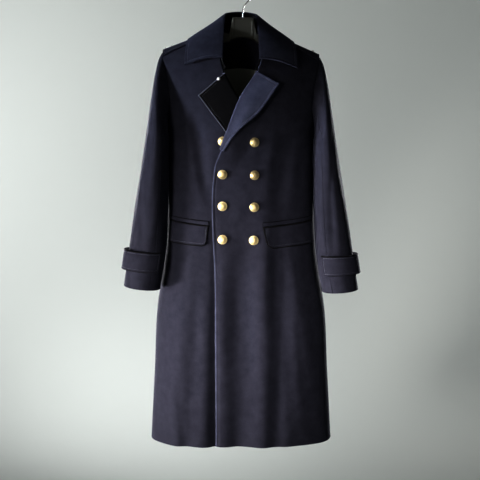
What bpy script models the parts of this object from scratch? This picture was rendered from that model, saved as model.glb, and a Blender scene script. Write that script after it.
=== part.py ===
"""Long double-breasted coat hanging on a moulded hanger.

Metres, +Z up. The origin is the inside top of the hook, where a rail carries it. The front faces -Y, and the
wearer's left is +X. Every cloth piece is a closed wall between an outer and an inner face. The body is one
smooth form of level sections, and the pieces sewn on it are made from that form's points moved outwards.
"""
from collections import namedtuple
import math

import bmesh
import bpy
from mathutils import Vector
import numpy as np

# Driving sizes. Heights are measured from the inside top of the hook.
CLOTH = 0.003
SEAM_GAP = 0.0003
LAP_GAP = 0.0005
HEM_Z = -1.230
ARMPIT_Z = -0.385
NECK_HALF = 0.060
NECK_POINT_Z = -0.1135
SHOULDER_HALF = 0.213
SHOULDER_SLOPE = 0.406
SHOULDER_Y = 0.005
NECK_BACK_Y = 0.060
ROUNDNESS = 2.4
HOOK_OFFSET = 0.0053
HANG_TILT = 0.030

# The body's outer face at each height: half width, furthest front, side seam and furthest back.
BodyRow = namedtuple("BodyRow", "z half_width front_y side_y back_y")
BODY_ROWS = (
    BodyRow(-1.230, 0.252, -0.100, 0.008, 0.092),
    BodyRow(-1.040, 0.241, -0.100, 0.010, 0.088),
    BodyRow(-0.842, 0.229, -0.0995, 0.013, 0.082),
    BodyRow(-0.760, 0.215, -0.099, 0.014, 0.078),
    BodyRow(-0.700, 0.207, -0.098, 0.015, 0.075),
    BodyRow(-0.630, 0.2025, -0.096, 0.015, 0.072),
    BodyRow(-0.560, 0.2005, -0.095, 0.014, 0.070),
    BodyRow(-0.470, 0.1998, -0.096, 0.012, 0.074),
    BodyRow(-0.410, 0.1990, -0.097, 0.011, 0.077),
    BodyRow(-0.385, 0.1975, -0.097, 0.010, 0.078),
)

# Armhole edge, by its rise from armpit (0) to shoulder point (1): the angle at which it cuts the section,
# and its x.
ArmholeRow = namedtuple("ArmholeRow", "rise angle x")
ARMHOLE_ROWS = (
    ArmholeRow(0.00, math.radians(90), 0.1975),
    ArmholeRow(0.12, math.radians(74), 0.1945),
    ArmholeRow(0.30, math.radians(63), 0.189),
    ArmholeRow(0.55, math.radians(58), 0.193),
    ArmholeRow(0.80, math.radians(56), 0.203),
    ArmholeRow(1.00, math.radians(56), SHOULDER_HALF),
)

# Front edges seen from the front: x at each height, from the hem up the roll line to the shoulder seam.
EdgePoint = namedtuple("EdgePoint", "z x")
OVER_EDGE = (
    EdgePoint(-1.230, -0.070),
    EdgePoint(-0.800, -0.0705),
    EdgePoint(-0.506, -0.072),
    EdgePoint(-0.470, -0.067),
    EdgePoint(-0.440, -0.055),
    EdgePoint(-0.407, -0.0436),
    EdgePoint(-0.381, -0.0336),
    EdgePoint(-0.296, 0.000),
    EdgePoint(-0.222, 0.043),
    EdgePoint(-0.188, 0.054),
    EdgePoint(-0.150, 0.059),
    EdgePoint(NECK_POINT_Z, NECK_HALF),
)
UNDER_EDGE = (
    EdgePoint(-1.230, 0.062),
    EdgePoint(-0.800, 0.062),
    EdgePoint(-0.520, 0.063),
    EdgePoint(-0.440, 0.060),
    EdgePoint(-0.405, 0.046),
    EdgePoint(-0.308, -0.003),
    EdgePoint(-0.230, -0.045),
    EdgePoint(-0.188, -0.055),
    EdgePoint(-0.150, -0.059),
    EdgePoint(NECK_POINT_Z, -NECK_HALF),
)

# How far the upper front's edge stands off the lower front, where the lapel rolls.
EdgeLift = namedtuple("EdgeLift", "z lift")
OVER_LIFT = (
    EdgeLift(-0.560, 0.0),
    EdgeLift(-0.500, 0.002),
    EdgeLift(-0.455, 0.008),
    EdgeLift(-0.420, 0.011),
    EdgeLift(-0.380, 0.011),
    EdgeLift(-0.330, 0.010),
    EdgeLift(-0.290, 0.007),
    EdgeLift(-0.240, 0.002),
    EdgeLift(-0.200, 0.0),
)

# The largest folds: a line from top to bottom, the fold's half width, and how far it swells out (or in).
Fold = namedtuple("Fold", "x_top z_top x_low z_low half_width swell")
FRONT_FOLDS = (
    Fold(0.045, -0.640, 0.056, HEM_Z, 0.026, 0.007),
    Fold(0.083, -0.640, 0.092, HEM_Z, 0.022, -0.012),
    Fold(0.120, -0.720, 0.146, HEM_Z, 0.034, 0.014),
    Fold(-0.012, -0.700, -0.012, HEM_Z, 0.034, -0.007),
    Fold(-0.098, -0.700, -0.104, HEM_Z, 0.022, 0.007),
    Fold(-0.128, -0.740, -0.136, HEM_Z, 0.020, -0.006),
    Fold(-0.160, -0.720, -0.176, HEM_Z, 0.034, 0.013),
    Fold(-0.152, -0.310, -0.100, -0.580, 0.026, -0.005),
    Fold(0.112, -0.350, 0.060, -0.600, 0.026, -0.005),
)
BACK_FOLDS = (
    Fold(0.000, -0.500, 0.000, HEM_Z, 0.036, -0.010),
    Fold(0.060, -0.560, 0.086, HEM_Z, 0.034, 0.011),
    Fold(-0.060, -0.560, -0.086, HEM_Z, 0.034, 0.011),
    Fold(0.115, -0.620, 0.142, HEM_Z, 0.026, -0.008),
    Fold(-0.115, -0.620, -0.142, HEM_Z, 0.026, -0.008),
    Fold(0.150, -0.700, 0.190, HEM_Z, 0.030, 0.008),
    Fold(-0.150, -0.700, -0.190, HEM_Z, 0.030, 0.008),
)

# Grid counts. The armhole steps set the panels' upper rows and the sleeve's segments alike.
SKIRT_STEPS = 14
ARMHOLE_STEPS = 9
LAP_STEPS = 7
FRONT_STEPS = 11
NECK_STEPS = 5
BACK_SIDE_STEPS = 8


for old in list(bpy.data.objects):
    bpy.data.objects.remove(old, do_unlink=True)

coat = bpy.data.collections.new("double_breasted_greatcoat")
bpy.context.scene.collection.children.link(coat)


def surface(name, colour, roughness, metallic=0.0):
    """Principled material with one colour."""
    material = bpy.data.materials.new(name)
    material.use_nodes = True
    shader = material.node_tree.nodes["Principled BSDF"]
    shader.inputs["Base Color"].default_value = (*colour, 1.0)
    shader.inputs["Roughness"].default_value = roughness
    shader.inputs["Metallic"].default_value = metallic
    return material


navy_wool = surface("navy_wool", (0.013, 0.014, 0.026), 0.9)
lining_satin = surface("lining_satin", (0.022, 0.021, 0.016), 0.5)
gilt = surface("gilt_metal", (0.72, 0.55, 0.26), 0.3, 1.0)
white_metal = surface("white_metal", (0.62, 0.62, 0.60), 0.3, 1.0)
hanger_plastic = surface("hanger_plastic", (0.028, 0.028, 0.024), 0.45)
hook_steel = surface("hook_steel", (0.55, 0.55, 0.53), 0.3, 1.0)


def through(knots, values, at):
    """Smooth curve through the values, with the slope at each knot taken from its neighbours."""
    knots = np.asarray(knots, float)
    values = np.asarray(values, float)
    slopes = np.gradient(values, knots, axis=0)
    at = np.clip(np.asarray(at, float), knots[0], knots[-1])
    cell = np.clip(np.searchsorted(knots, at, side="right") - 1, 0, len(knots) - 2)
    width = knots[cell + 1] - knots[cell]
    part = (at - knots[cell]) / width
    if values.ndim > 1:
        part = part[..., None]
        width = width[..., None]
    rise = part * part * (3 - 2 * part)
    start = part * (1 - part) ** 2
    end = part * part * (part - 1)
    ends = values[cell] * (1 - rise) + values[cell + 1] * rise
    return ends + (slopes[cell] * start + slopes[cell + 1] * end) * width


def ease(low, high, at):
    """Smooth step from 0 at low to 1 at high."""
    part = np.clip((at - low) / (high - low), 0.0, 1.0)
    return part * part * (3 - 2 * part)


def unit(vectors):
    """Vectors scaled to length 1."""
    return vectors / np.maximum(np.linalg.norm(vectors, axis=-1, keepdims=True), 1e-12)


def body_size(column, z):
    """One column of the body table at the given heights."""
    return through([row.z for row in BODY_ROWS], [getattr(row, column) for row in BODY_ROWS], z)


def shoulder_z(x):
    """Height of the shoulder line, carried across the neck as a flat arch."""
    reach = np.abs(x)
    arch = NECK_POINT_Z + SHOULDER_SLOPE * NECK_HALF / 2 * (1 - (reach / NECK_HALF) ** 2)
    slope = NECK_POINT_Z - SHOULDER_SLOPE * (reach - NECK_HALF)
    return np.where(reach < NECK_HALF, arch, slope)


def swell(folds, x, z):
    """How far the folds push the cloth out at each point."""
    total = np.zeros_like(x)
    for fold in folds:
        down = np.clip((fold.z_top - z) / (fold.z_top - fold.z_low), 0.0, 1.0)
        centre = fold.x_top + (fold.x_low - fold.x_top) * down
        fade = ease(0.0, 0.35, down)
        if fold.z_low > HEM_Z:
            fade = fade * (1 - ease(0.65, 1.0, down))
        total = total + fold.swell * fade * np.exp(-((x - centre) / fold.half_width) ** 2)
    return total


def armhole_size(column, level):
    """One column of the armhole table at the given levels."""
    rise = np.clip(np.asarray(level, float) - 1, 0.0, 1.0)
    return through([row.rise for row in ARMHOLE_ROWS], [getattr(row, column) for row in ARMHOLE_ROWS], rise)


def half_width_at(level):
    """Half width of the section at a level: 0 to 1 from hem to armpit, 1 to 2 on to the shoulder seam."""
    level = np.asarray(level, float)
    z = HEM_Z + (ARMPIT_Z - HEM_Z) * np.clip(level, 0.0, 1.0)
    yoke = armhole_size("x", level) / np.sin(armhole_size("angle", level)) ** (2 / ROUNDNESS)
    return np.where(level < 1, body_size("half_width", z), yoke)


def body_point(level, angle, back):
    """Outer face of the body: level as above, angle 0 at the centre of the front or back, 90 at the side.

    Sections are rounded rectangles. Above the armpit each point climbs towards the shoulder line while its
    depth shrinks along a quarter round, so front and back meet at the shoulder seam and leave the neck hole.
    """
    level, angle = np.broadcast_arrays(np.asarray(level, float), np.asarray(angle, float))
    base_z = HEM_Z + (ARMPIT_Z - HEM_Z) * np.clip(level, 0.0, 1.0)
    rise = np.clip(level - 1, 0.0, 1.0)
    across = np.sign(np.sin(angle)) * np.abs(np.sin(angle)) ** (2 / ROUNDNESS)
    along = np.abs(np.cos(angle)) ** (2 / ROUNDNESS)
    x = half_width_at(level) * across
    z = base_z + (shoulder_z(x) - ARMPIT_Z) * rise
    side_y = body_size("side_y", base_z)
    reach_y = body_size("back_y" if back else "front_y", base_z)
    level_y = side_y + (reach_y - side_y) * along
    neck = np.sqrt(np.clip(1 - (x / NECK_HALF) ** 2, 0.0, 1.0))
    top_y = SHOULDER_Y + (NECK_BACK_Y - SHOULDER_Y) * neck * (1.0 if back else 0.0)
    fullness = (1 - rise ** 2.4) ** (1 / 1.8)
    y = top_y + (level_y - top_y) * fullness
    folds = swell(BACK_FOLDS, x, z) if back else -swell(FRONT_FOLDS, x, z)
    return np.stack([x, y + folds * along, z], axis=-1)


def body_normal(level, angle, back):
    """Outward normal of the body's outer face."""
    step = 1e-3
    limit = math.radians(89)
    level = np.clip(level, step, 2 - 2 * step)
    angle = np.clip(angle, -limit, limit)
    up = body_point(level + step, angle, back) - body_point(level - step, angle, back)
    turn = body_point(level, angle + step, back) - body_point(level, angle - step, back)
    normal = unit(np.cross(turn, up))
    return -normal if back else normal


def over_offset(point):
    """How far the upper front lies outside the body form: over the lower front, and at the rolling edge."""
    x = point[..., 0]
    z = point[..., 2]
    lap = (CLOTH + LAP_GAP) * (1 - ease(0.068, 0.110, x)) * (1 - ease(-0.310, -0.240, z))
    lift = through([row.z for row in OVER_LIFT], [row.lift for row in OVER_LIFT], z)
    edge_x = through([row.z for row in OVER_EDGE], [row.x for row in OVER_EDGE], z)
    return lap + lift * (1 - ease(0.022, 0.070, x - edge_x))


def panel(name, level, angle):
    """Outer points and normals of the back, the upper front (left) or the lower front (right)."""
    back = name == "back"
    points = body_point(level, angle, back)
    normals = body_normal(level, angle, back)
    level, angle = np.broadcast_arrays(level, angle)
    at_shoulder = (level > 2 - 1e-6) & (np.abs(points[..., 0]) > NECK_HALF - 1e-6)
    at_side = np.abs(angle) > math.pi / 2 - 1e-6
    normals[..., 1] = np.where(at_shoulder | at_side, 0.0, normals[..., 1])
    normals = unit(normals)
    if name == "front_left":
        points = points + normals * over_offset(points)[..., None]
    return points, normals


def locate(x, z):
    """Level and angle of the body point that is seen from the front at x and z."""
    x = np.asarray(x, float)
    z = np.asarray(z, float)
    level = np.where(
        z < ARMPIT_Z,
        (z - HEM_Z) / (ARMPIT_Z - HEM_Z),
        1 + (z - ARMPIT_Z) / (shoulder_z(x) - ARMPIT_Z),
    )
    level = np.clip(level, 0.0, 2.0)
    across = np.clip(np.abs(x) / half_width_at(level), 0.0, 1.0)
    return level, np.sign(x) * np.arcsin(across ** (ROUNDNESS / 2))


def edge_angle(edge, level):
    """Angle at which each level meets a front edge."""
    level = np.asarray(level, float)
    base_z = HEM_Z + (ARMPIT_Z - HEM_Z) * np.clip(level, 0.0, 1.0)
    rise = np.clip(level - 1, 0.0, 1.0)
    knots = [row.z for row in edge]
    xs = [row.x for row in edge]
    x = through(knots, xs, base_z)
    for _ in range(60):
        z = base_z + (shoulder_z(x) - ARMPIT_Z) * rise
        x = 0.5 * x + 0.5 * through(knots, xs, z)
    across = np.clip(np.abs(x) / half_width_at(level), 0.0, 1.0)
    return np.sign(x) * np.arcsin(across ** (ROUNDNESS / 2))


def settle(points):
    """Points moved from the coat's own centre line to the hook, with the shoulders' slight tilt."""
    x = points[..., 0] - HOOK_OFFSET
    z = points[..., 2]
    drop = x * HANG_TILT * ease(HEM_Z, -0.400, z)
    return np.stack([x, points[..., 1], z - drop], axis=-1)


def add_object(name, points, faces, material):
    """Closed mesh object with outward faces."""
    mesh = bpy.data.meshes.new(name)
    mesh.from_pydata([tuple(point) for point in settle(np.asarray(points))], [], faces)
    shape = bmesh.new()
    shape.from_mesh(mesh)
    bmesh.ops.recalc_face_normals(shape, faces=shape.faces)
    shape.to_mesh(mesh)
    shape.free()
    mesh.materials.append(material)
    piece = bpy.data.objects.new(name, mesh)
    coat.objects.link(piece)
    return piece


def wall(name, outer, inner, material):
    """Closed wall between two grids of one size, with all cells split along one diagonal."""
    rows, columns = outer.shape[:2]
    inside = rows * columns
    faces = []

    def at(row, column):
        return row * columns + column

    for row in range(rows - 1):
        for column in range(columns - 1):
            low, next_low = at(row, column), at(row, column + 1)
            high, next_high = at(row + 1, column), at(row + 1, column + 1)
            for face in ((low, next_low, next_high), (low, next_high, high)):
                faces.append(face)
                faces.append(tuple(inside + corner for corner in reversed(face)))
    rim = []
    for column in range(columns - 1):
        rim.append((at(0, column), at(0, column + 1)))
        rim.append((at(rows - 1, column + 1), at(rows - 1, column)))
    for row in range(rows - 1):
        rim.append((at(row + 1, 0), at(row, 0)))
        rim.append((at(row, columns - 1), at(row + 1, columns - 1)))
    for first, second in rim:
        faces.append((second, first, inside + first, inside + second))
    points = np.concatenate([outer.reshape(-1, 3), inner.reshape(-1, 3)])
    return add_object(name, points, faces, material)


# Body panels. Rows are even below the armpit and follow the armhole's round above it.
armhole_turn = np.linspace(math.pi, 0.0, ARMHOLE_STEPS + 1)
armhole_levels = 1 + (1 + np.cos(armhole_turn)) / 2
levels = np.concatenate([np.linspace(0.0, 1.0, SKIRT_STEPS + 1)[:-1], armhole_levels])

over_angle = edge_angle(OVER_EDGE, levels)
under_angle = edge_angle(UNDER_EDGE, levels)
side_angle = armhole_size("angle", levels)
lap_steps = np.linspace(0.0, 1.0, LAP_STEPS + 1)
plain_steps = np.linspace(0.0, 1.0, FRONT_STEPS + 1)


def between(start, end, steps):
    """Angles from start to end at each level."""
    return start[:, None] + (end - start)[:, None] * steps


# Both fronts have the same columns where they overlap, so that their faces lie parallel there.
over_split = np.maximum(under_angle, over_angle + 0.15 * (side_angle - over_angle))
under_split = np.minimum(over_angle, under_angle - 0.15 * (under_angle + side_angle))
left_angles = np.concatenate([
    between(over_angle, over_split, lap_steps),
    between(over_split, side_angle, plain_steps)[:, 1:],
], axis=1)
right_angles = np.concatenate([
    between(-side_angle, under_split, plain_steps)[:, :-1],
    between(under_split, under_angle, lap_steps),
], axis=1)
front_edges = {}
for name, angles, edge_column in (("front_left", left_angles, 0), ("front_right", right_angles, -1)):
    outer, normals = panel(name, levels[:, None], angles)
    outer[..., 1] -= SEAM_GAP / 2
    wall(name, outer, outer - CLOTH * normals, navy_wool)
    front_edges[name] = np.concatenate([outer[:, edge_column], normals[:, edge_column]], axis=1)


def front_edge(name, z):
    """Points and normals on a front panel's built edge at the given heights."""
    line = front_edges[name]
    found = np.stack([np.interp(z, line[:, 2], line[:, column]) for column in range(6)], axis=-1)
    return found[..., :3], unit(found[..., 3:])


neck_angle = math.asin((NECK_HALF / float(half_width_at(2.0))) ** (ROUNDNESS / 2))
neck_steps = np.linspace(0.0, neck_angle, NECK_STEPS + 1)
side_steps = np.linspace(0.0, 1.0, BACK_SIDE_STEPS + 1)[1:]
half = np.concatenate([
    np.broadcast_to(neck_steps, (len(levels), NECK_STEPS + 1)),
    neck_angle + (side_angle - neck_angle)[:, None] * side_steps,
], axis=1)
back_angles = np.concatenate([-half[:, :0:-1], half], axis=1)
back_outer, back_normals = panel("back", levels[:, None], back_angles)
back_outer[..., 1] += SEAM_GAP / 2
wall("back", back_outer, back_outer - CLOTH * back_normals, navy_wool)


# Sleeve. Stations give its outer face as seen from the front (outer and inner line), with its half depth and
# the depth of its centre. The first station is the armhole and the last is the cuff's open end. Each sleeve
# is a wide top piece and a narrower under piece, which meet at a front seam and a hind seam.
SleeveStation = namedtuple("SleeveStation", "outer_x outer_z inner_x inner_z half_depth centre_y")
SLEEVE_STATIONS = (
    SleeveStation(0.2133, -0.1756, 0.1980, -0.385, 0.050, -0.004),
    SleeveStation(0.2225, -0.198, 0.2000, -0.389, 0.058, -0.008),
    SleeveStation(0.2310, -0.240, 0.1988, -0.396, 0.064, -0.018),
    SleeveStation(0.2410, -0.305, 0.1980, -0.410, 0.069, -0.027),
    SleeveStation(0.2525, -0.385, 0.1972, -0.437, 0.072, -0.032),
    SleeveStation(0.2675, -0.478, 0.1972, -0.505, 0.070, -0.036),
    SleeveStation(0.2835, -0.575, 0.1975, -0.588, 0.065, -0.042),
    SleeveStation(0.2975, -0.672, 0.2005, -0.678, 0.059, -0.049),
    SleeveStation(0.3065, -0.735, 0.2075, -0.741, 0.056, -0.056),
    SleeveStation(0.3155, -0.796, 0.2185, -0.806, 0.053, -0.061),
)
ARMHOLE_BLEND = 3.0
ARMPIT_CLEAR = 0.0018
SLEEVE_PIECES = (("sleeve_top", -6, 6), ("sleeve_under", 6, 12))


def sleeve_point(station, turn):
    """Outer face of the left sleeve: turn 0 on its outer line, 90 in front, 180 on its inner line."""
    station, turn = np.broadcast_arrays(np.asarray(station, float), np.asarray(turn, float))
    row = SleeveStation(*np.moveaxis(through(range(len(SLEEVE_STATIONS)), SLEEVE_STATIONS, station), -1, 0))
    cosine = np.cos(turn)
    x = (row.outer_x + row.inner_x) / 2 + (row.outer_x - row.inner_x) / 2 * cosine
    z = (row.outer_z + row.inner_z) / 2 + (row.outer_z - row.inner_z) / 2 * cosine
    y = row.centre_y - row.half_depth * np.sin(turn)
    return np.stack([x, y, z], axis=-1)


def sleeve_normal(station, turn):
    """Outward normal of the sleeve's outer face."""
    step = 1e-3
    along = sleeve_point(station + step, turn) - sleeve_point(station - step, turn)
    around = sleeve_point(station, turn + step) - sleeve_point(station, turn - step)
    return unit(np.cross(around, along))


sleeve_turns = np.linspace(0.0, 2 * math.pi, 2 * ARMHOLE_STEPS + 1)[:-1]
loop_levels = 1 + (1 + np.cos(sleeve_turns)) / 2
front_loop, _ = panel("front_left", loop_levels, armhole_size("angle", loop_levels))
back_loop, _ = panel("back", loop_levels, armhole_size("angle", loop_levels))
armhole = np.where((sleeve_turns <= math.pi)[:, None], front_loop, back_loop)
armhole[:, 0] += SEAM_GAP + ARMPIT_CLEAR * ((1 - np.cos(sleeve_turns)) / 2) ** 3
rings = np.concatenate([[0.0, 0.4], np.arange(1, len(SLEEVE_STATIONS))])
blend = np.clip(1 - rings / ARMHOLE_BLEND, 0.0, 1.0) ** 2
sleeve_outer = sleeve_point(rings[:, None], sleeve_turns)
sleeve_outer = sleeve_outer + blend[:, None, None] * (armhole - sleeve_outer[0])
sleeve_out = sleeve_normal(rings[:, None], sleeve_turns)
armhole_centre = np.array([0.0, SHOULDER_Y, (ARMPIT_Z + shoulder_z(SHOULDER_HALF)) / 2])
radial = (armhole - armhole_centre) * (0.0, 1.0, 1.0)
sleeve_out[0] = unit(radial)
sleeve_out[1] = unit(sleeve_out[0] + sleeve_out[1])
sleeve_inner = sleeve_outer - CLOTH * sleeve_out
MIRROR = np.array([-1.0, 1.0, 1.0])
around = np.roll(sleeve_outer, -1, axis=1) - np.roll(sleeve_outer, 1, axis=1)
seam_shift = SEAM_GAP / 2 * unit(around)
for piece, first, last in SLEEVE_PIECES:
    columns = np.arange(first, last + 1) % len(sleeve_turns)
    shift = np.zeros((len(rings), len(columns), 3))
    shift[:, 0] = seam_shift[:, columns[0]]
    shift[:, -1] = -seam_shift[:, columns[-1]]
    outer = sleeve_outer[:, columns] + shift
    inner = sleeve_inner[:, columns] + shift
    wall(piece + "_left", outer, inner, navy_wool)
    wall(piece + "_right", outer * MIRROR, inner * MIRROR, navy_wool)

# Cuff straps, sewn in near the sleeve's front seam. They stand off the sleeve at its outer side.
STRAP_STATIONS = (7.40, 8.00, 8.28)
STRAP_FIRST = 7
STRAP_LAST = -7
STRAP_GAP = 0.0008
STRAP_STAND = 0.009
strap_turns = np.arange(STRAP_FIRST, STRAP_LAST - 1, -1) * math.pi / ARMHOLE_STEPS
strap_rows = np.array(STRAP_STATIONS)[:, None]
strap_normals = sleeve_normal(strap_rows, strap_turns)
strap_lift = STRAP_GAP + STRAP_STAND * np.clip(np.cos(strap_turns), 0.0, 1.0) ** 1.5
strap_inner = sleeve_point(strap_rows, strap_turns) + strap_normals * strap_lift[:, None]
strap_outer = strap_inner + CLOTH * strap_normals
wall("cuff_strap_left", strap_outer, strap_inner, navy_wool)
wall("cuff_strap_right", strap_outer * MIRROR, strap_inner * MIRROR, navy_wool)

# Epaulettes, along the shoulder seam from under the collar to the sleeve head.
EPAULETTE_INNER_X = 0.098
EPAULETTE_OUTER_X = 0.208
EPAULETTE_HALF = 0.023
EPAULETTE_GAP = 0.0011


def level_at_depth(x, depth, back):
    """Level at which the body's face lies this far from the shoulder seam, measured in y."""
    low = np.full(np.shape(x), 1.3)
    high = np.full(np.shape(x), 2.0)
    for _ in range(40):
        middle = (low + high) / 2
        angle = np.arcsin(np.clip(x / half_width_at(middle), 0.0, 1.0) ** (ROUNDNESS / 2))
        reach = np.abs(body_point(middle, angle, back)[..., 1] - SHOULDER_Y)
        low = np.where(reach > depth, middle, low)
        high = np.where(reach > depth, high, middle)
    return high


def shoulder_strip(xs, depths):
    """Points and normals over the shoulder: negative depths on the front panel, positive on the back."""
    xs, depths = np.broadcast_arrays(xs, depths)
    points = np.zeros(xs.shape + (3,))
    normals = np.zeros(xs.shape + (3,))
    for name, chosen in (("front_left", depths <= 0), ("back", depths > 0)):
        level = level_at_depth(xs[chosen], np.abs(depths[chosen]), name == "back")
        angle = np.arcsin(np.clip(xs[chosen] / half_width_at(level), 0.0, 1.0) ** (ROUNDNESS / 2))
        points[chosen], normals[chosen] = panel(name, level, angle)
    return points, normals


epaulette_x = np.linspace(EPAULETTE_INNER_X, EPAULETTE_OUTER_X, 7)
epaulette_depth = np.linspace(-EPAULETTE_HALF, EPAULETTE_HALF, 7)
epaulette_base, epaulette_normals = shoulder_strip(epaulette_x, epaulette_depth[:, None])
epaulette_inner = epaulette_base + EPAULETTE_GAP * epaulette_normals
epaulette_outer = epaulette_inner + CLOTH * epaulette_normals
wall("epaulette_left", epaulette_outer, epaulette_inner, navy_wool)
wall("epaulette_right", epaulette_outer * MIRROR, epaulette_inner * MIRROR, navy_wool)

# Lapels. Each is ruled from its roll line, on the panel's edge, to its outer edge, both seen from the front.
# Its first columns turn round the panel's edge.
LapelRow = namedtuple("LapelRow", "roll_z outer_x outer_z stand")
LEFT_LAPEL = (
    LapelRow(-0.224, 0.097, -0.259, 0.006),
    LapelRow(-0.278, 0.0436, -0.334, 0.004),
    LapelRow(-0.330, 0.000, -0.3745, 0.002),
    LapelRow(-0.381, -0.0235, -0.401, 0.001),
    LapelRow(-0.430, -0.0435, -0.4345, 0.0),
)
RIGHT_LAPEL = (
    LapelRow(-0.232, -0.109, -0.292, 0.009),
    LapelRow(-0.268, -0.078, -0.333, 0.006),
    LapelRow(-0.302, -0.050, -0.3705, 0.003),
    LapelRow(-0.332, -0.026, -0.402, 0.001),
)
LAPEL_GAP = 0.0008
EDGE_GAP = 0.0012
LAPEL_ACROSS = np.array([0.06, 0.28, 0.52, 0.76, 1.0])


def lapel(name, panel_name, rows, count):
    """Lapel wall on its front panel."""
    place = np.linspace(0.0, len(rows) - 1, count)
    row = LapelRow(*np.moveaxis(through(range(len(rows)), rows, place), -1, 0))
    roll, roll_out = front_edge(panel_name, row.roll_z)
    roll_x = roll[:, 0]
    x = roll_x[:, None] + (row.outer_x - roll_x)[:, None] * LAPEL_ACROSS
    z = row.roll_z[:, None] + (row.outer_z - row.roll_z)[:, None] * LAPEL_ACROSS
    face, out = panel(panel_name, *locate(x, z))
    away = unit(np.cross(np.gradient(roll, axis=0), roll_out))
    inward = face[:, -1] - roll
    away = away * -np.sign(np.sum(away * inward, axis=-1, keepdims=True))
    stand = LAPEL_GAP + row.stand[:, None] * LAPEL_ACROSS ** 1.5
    inner = [
        roll + EDGE_GAP * away - 0.8 * CLOTH * roll_out,
        roll + EDGE_GAP * away + LAPEL_GAP * roll_out,
    ]
    outer = [
        roll + (EDGE_GAP + CLOTH) * away - 0.8 * CLOTH * roll_out,
        roll + (EDGE_GAP + 0.7 * CLOTH) * away + (LAPEL_GAP + 0.7 * CLOTH) * roll_out,
    ]
    inner_grid = np.concatenate([np.stack(inner, axis=1), face + out * stand[..., None]], axis=1)
    outer_grid = np.concatenate([np.stack(outer, axis=1), face + out * (stand + CLOTH)[..., None]], axis=1)
    wall(name, outer_grid, inner_grid, navy_wool)
    return outer_grid


lapel("lapel_left", "front_left", LEFT_LAPEL, 12)
right_lapel_face = lapel("lapel_right", "front_right", RIGHT_LAPEL, 9)

# Collar. Stations run from the gorge (0) past the leaf's front edge (1) and the shoulder seam (4) to the
# centre back (7), and one beyond it to keep the curve level there. Each gives the fold's place and the outer
# edge's place, for the left half.
CollarStation = namedtuple("CollarStation", "fold_x fold_y fold_z edge_x edge_y edge_z")
COLLAR_STATIONS = (
    CollarStation(0.0400, -0.0830, -0.2160, 0.150, -0.078, -0.238),
    CollarStation(0.0500, -0.0750, -0.1930, 0.148, -0.067, -0.214),
    CollarStation(0.0495, -0.0500, -0.1550, 0.147, -0.050, -0.179),
    CollarStation(0.0480, -0.0220, -0.1170, 0.1435, -0.022, -0.1500),
    CollarStation(0.0465, 0.0040, -0.0890, 0.139, 0.006, -0.1380),
    CollarStation(0.0435, 0.0300, -0.0680, 0.122, 0.034, -0.1480),
    CollarStation(0.0310, 0.0470, -0.0600, 0.088, 0.055, -0.1590),
    CollarStation(0.0000, 0.0535, -0.0565, 0.000, 0.083, -0.1630),
    CollarStation(-0.0310, 0.0470, -0.0600, -0.088, 0.055, -0.1590),
)
GORGE_LEVEL = 1.587
SHOULDER_STATION = 4
BACK_STATION = 7
COLLAR_BULGE = 0.011
FOLD_GAP = 0.0006


def neck_seam(station, side):
    """Neck seam of one half: up the front panel's built edge, then round the back panel's built neck."""
    line = front_edges["front_left" if side > 0 else "front_right"][:, :3]
    front_level = GORGE_LEVEL + (2 - GORGE_LEVEL) * np.clip(station / SHOULDER_STATION, 0.0, 1.0)
    front = np.stack([np.interp(front_level, levels, line[:, axis]) for axis in range(3)], axis=-1)
    middle = back_outer.shape[1] // 2
    neck = back_outer[-1, middle + NECK_STEPS:middle - 1:-1] * (side, 1.0, 1.0)
    count = (station - SHOULDER_STATION) / (BACK_STATION - SHOULDER_STATION) * NECK_STEPS
    back = np.stack([np.interp(count, range(NECK_STEPS + 1), neck[:, axis]) for axis in range(3)], axis=-1)
    return np.where((station < SHOULDER_STATION)[:, None], front, back)


def collar_half(stations, side):
    """Neck seam, fold and outer edge of one half."""
    row = through(range(len(COLLAR_STATIONS)), COLLAR_STATIONS, stations)
    flip = np.array([side, 1.0, 1.0])
    return neck_seam(stations, side), row[:, :3] * flip, row[:, 3:] * flip


def collar_lines(stations):
    """Neck seam, fold and outer edge from the right front round the back to the left front."""
    right = collar_half(stations, -1)
    left = collar_half(stations[:-1][::-1], 1)
    return [np.concatenate([first, second]) for first, second in zip(right, left)]


def towards_neck(points):
    """Level unit vectors from the points towards the neck's middle line."""
    middle = np.stack([np.zeros(len(points)), np.clip(points[:, 1], -0.09, 0.02), points[:, 2]], axis=-1)
    return unit(middle - points)


LEAF_FRONT_STATIONS = (1.0, 1.58, 2.2, 2.87, 3.45)
leaf_back_stations = np.linspace(SHOULDER_STATION, BACK_STATION, NECK_STEPS + 1)
leaf_stations = np.concatenate([LEAF_FRONT_STATIONS, leaf_back_stations])
seam, fold, _ = collar_lines(np.concatenate([[0.0, 0.5], leaf_stations]))
stand_outer = np.stack([seam + EDGE_GAP * towards_neck(seam), fold], axis=0)
stand_inner = np.stack([line + CLOTH * towards_neck(line) for line in stand_outer], axis=0)
wall("collar_stand", stand_outer, stand_inner, navy_wool)

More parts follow.
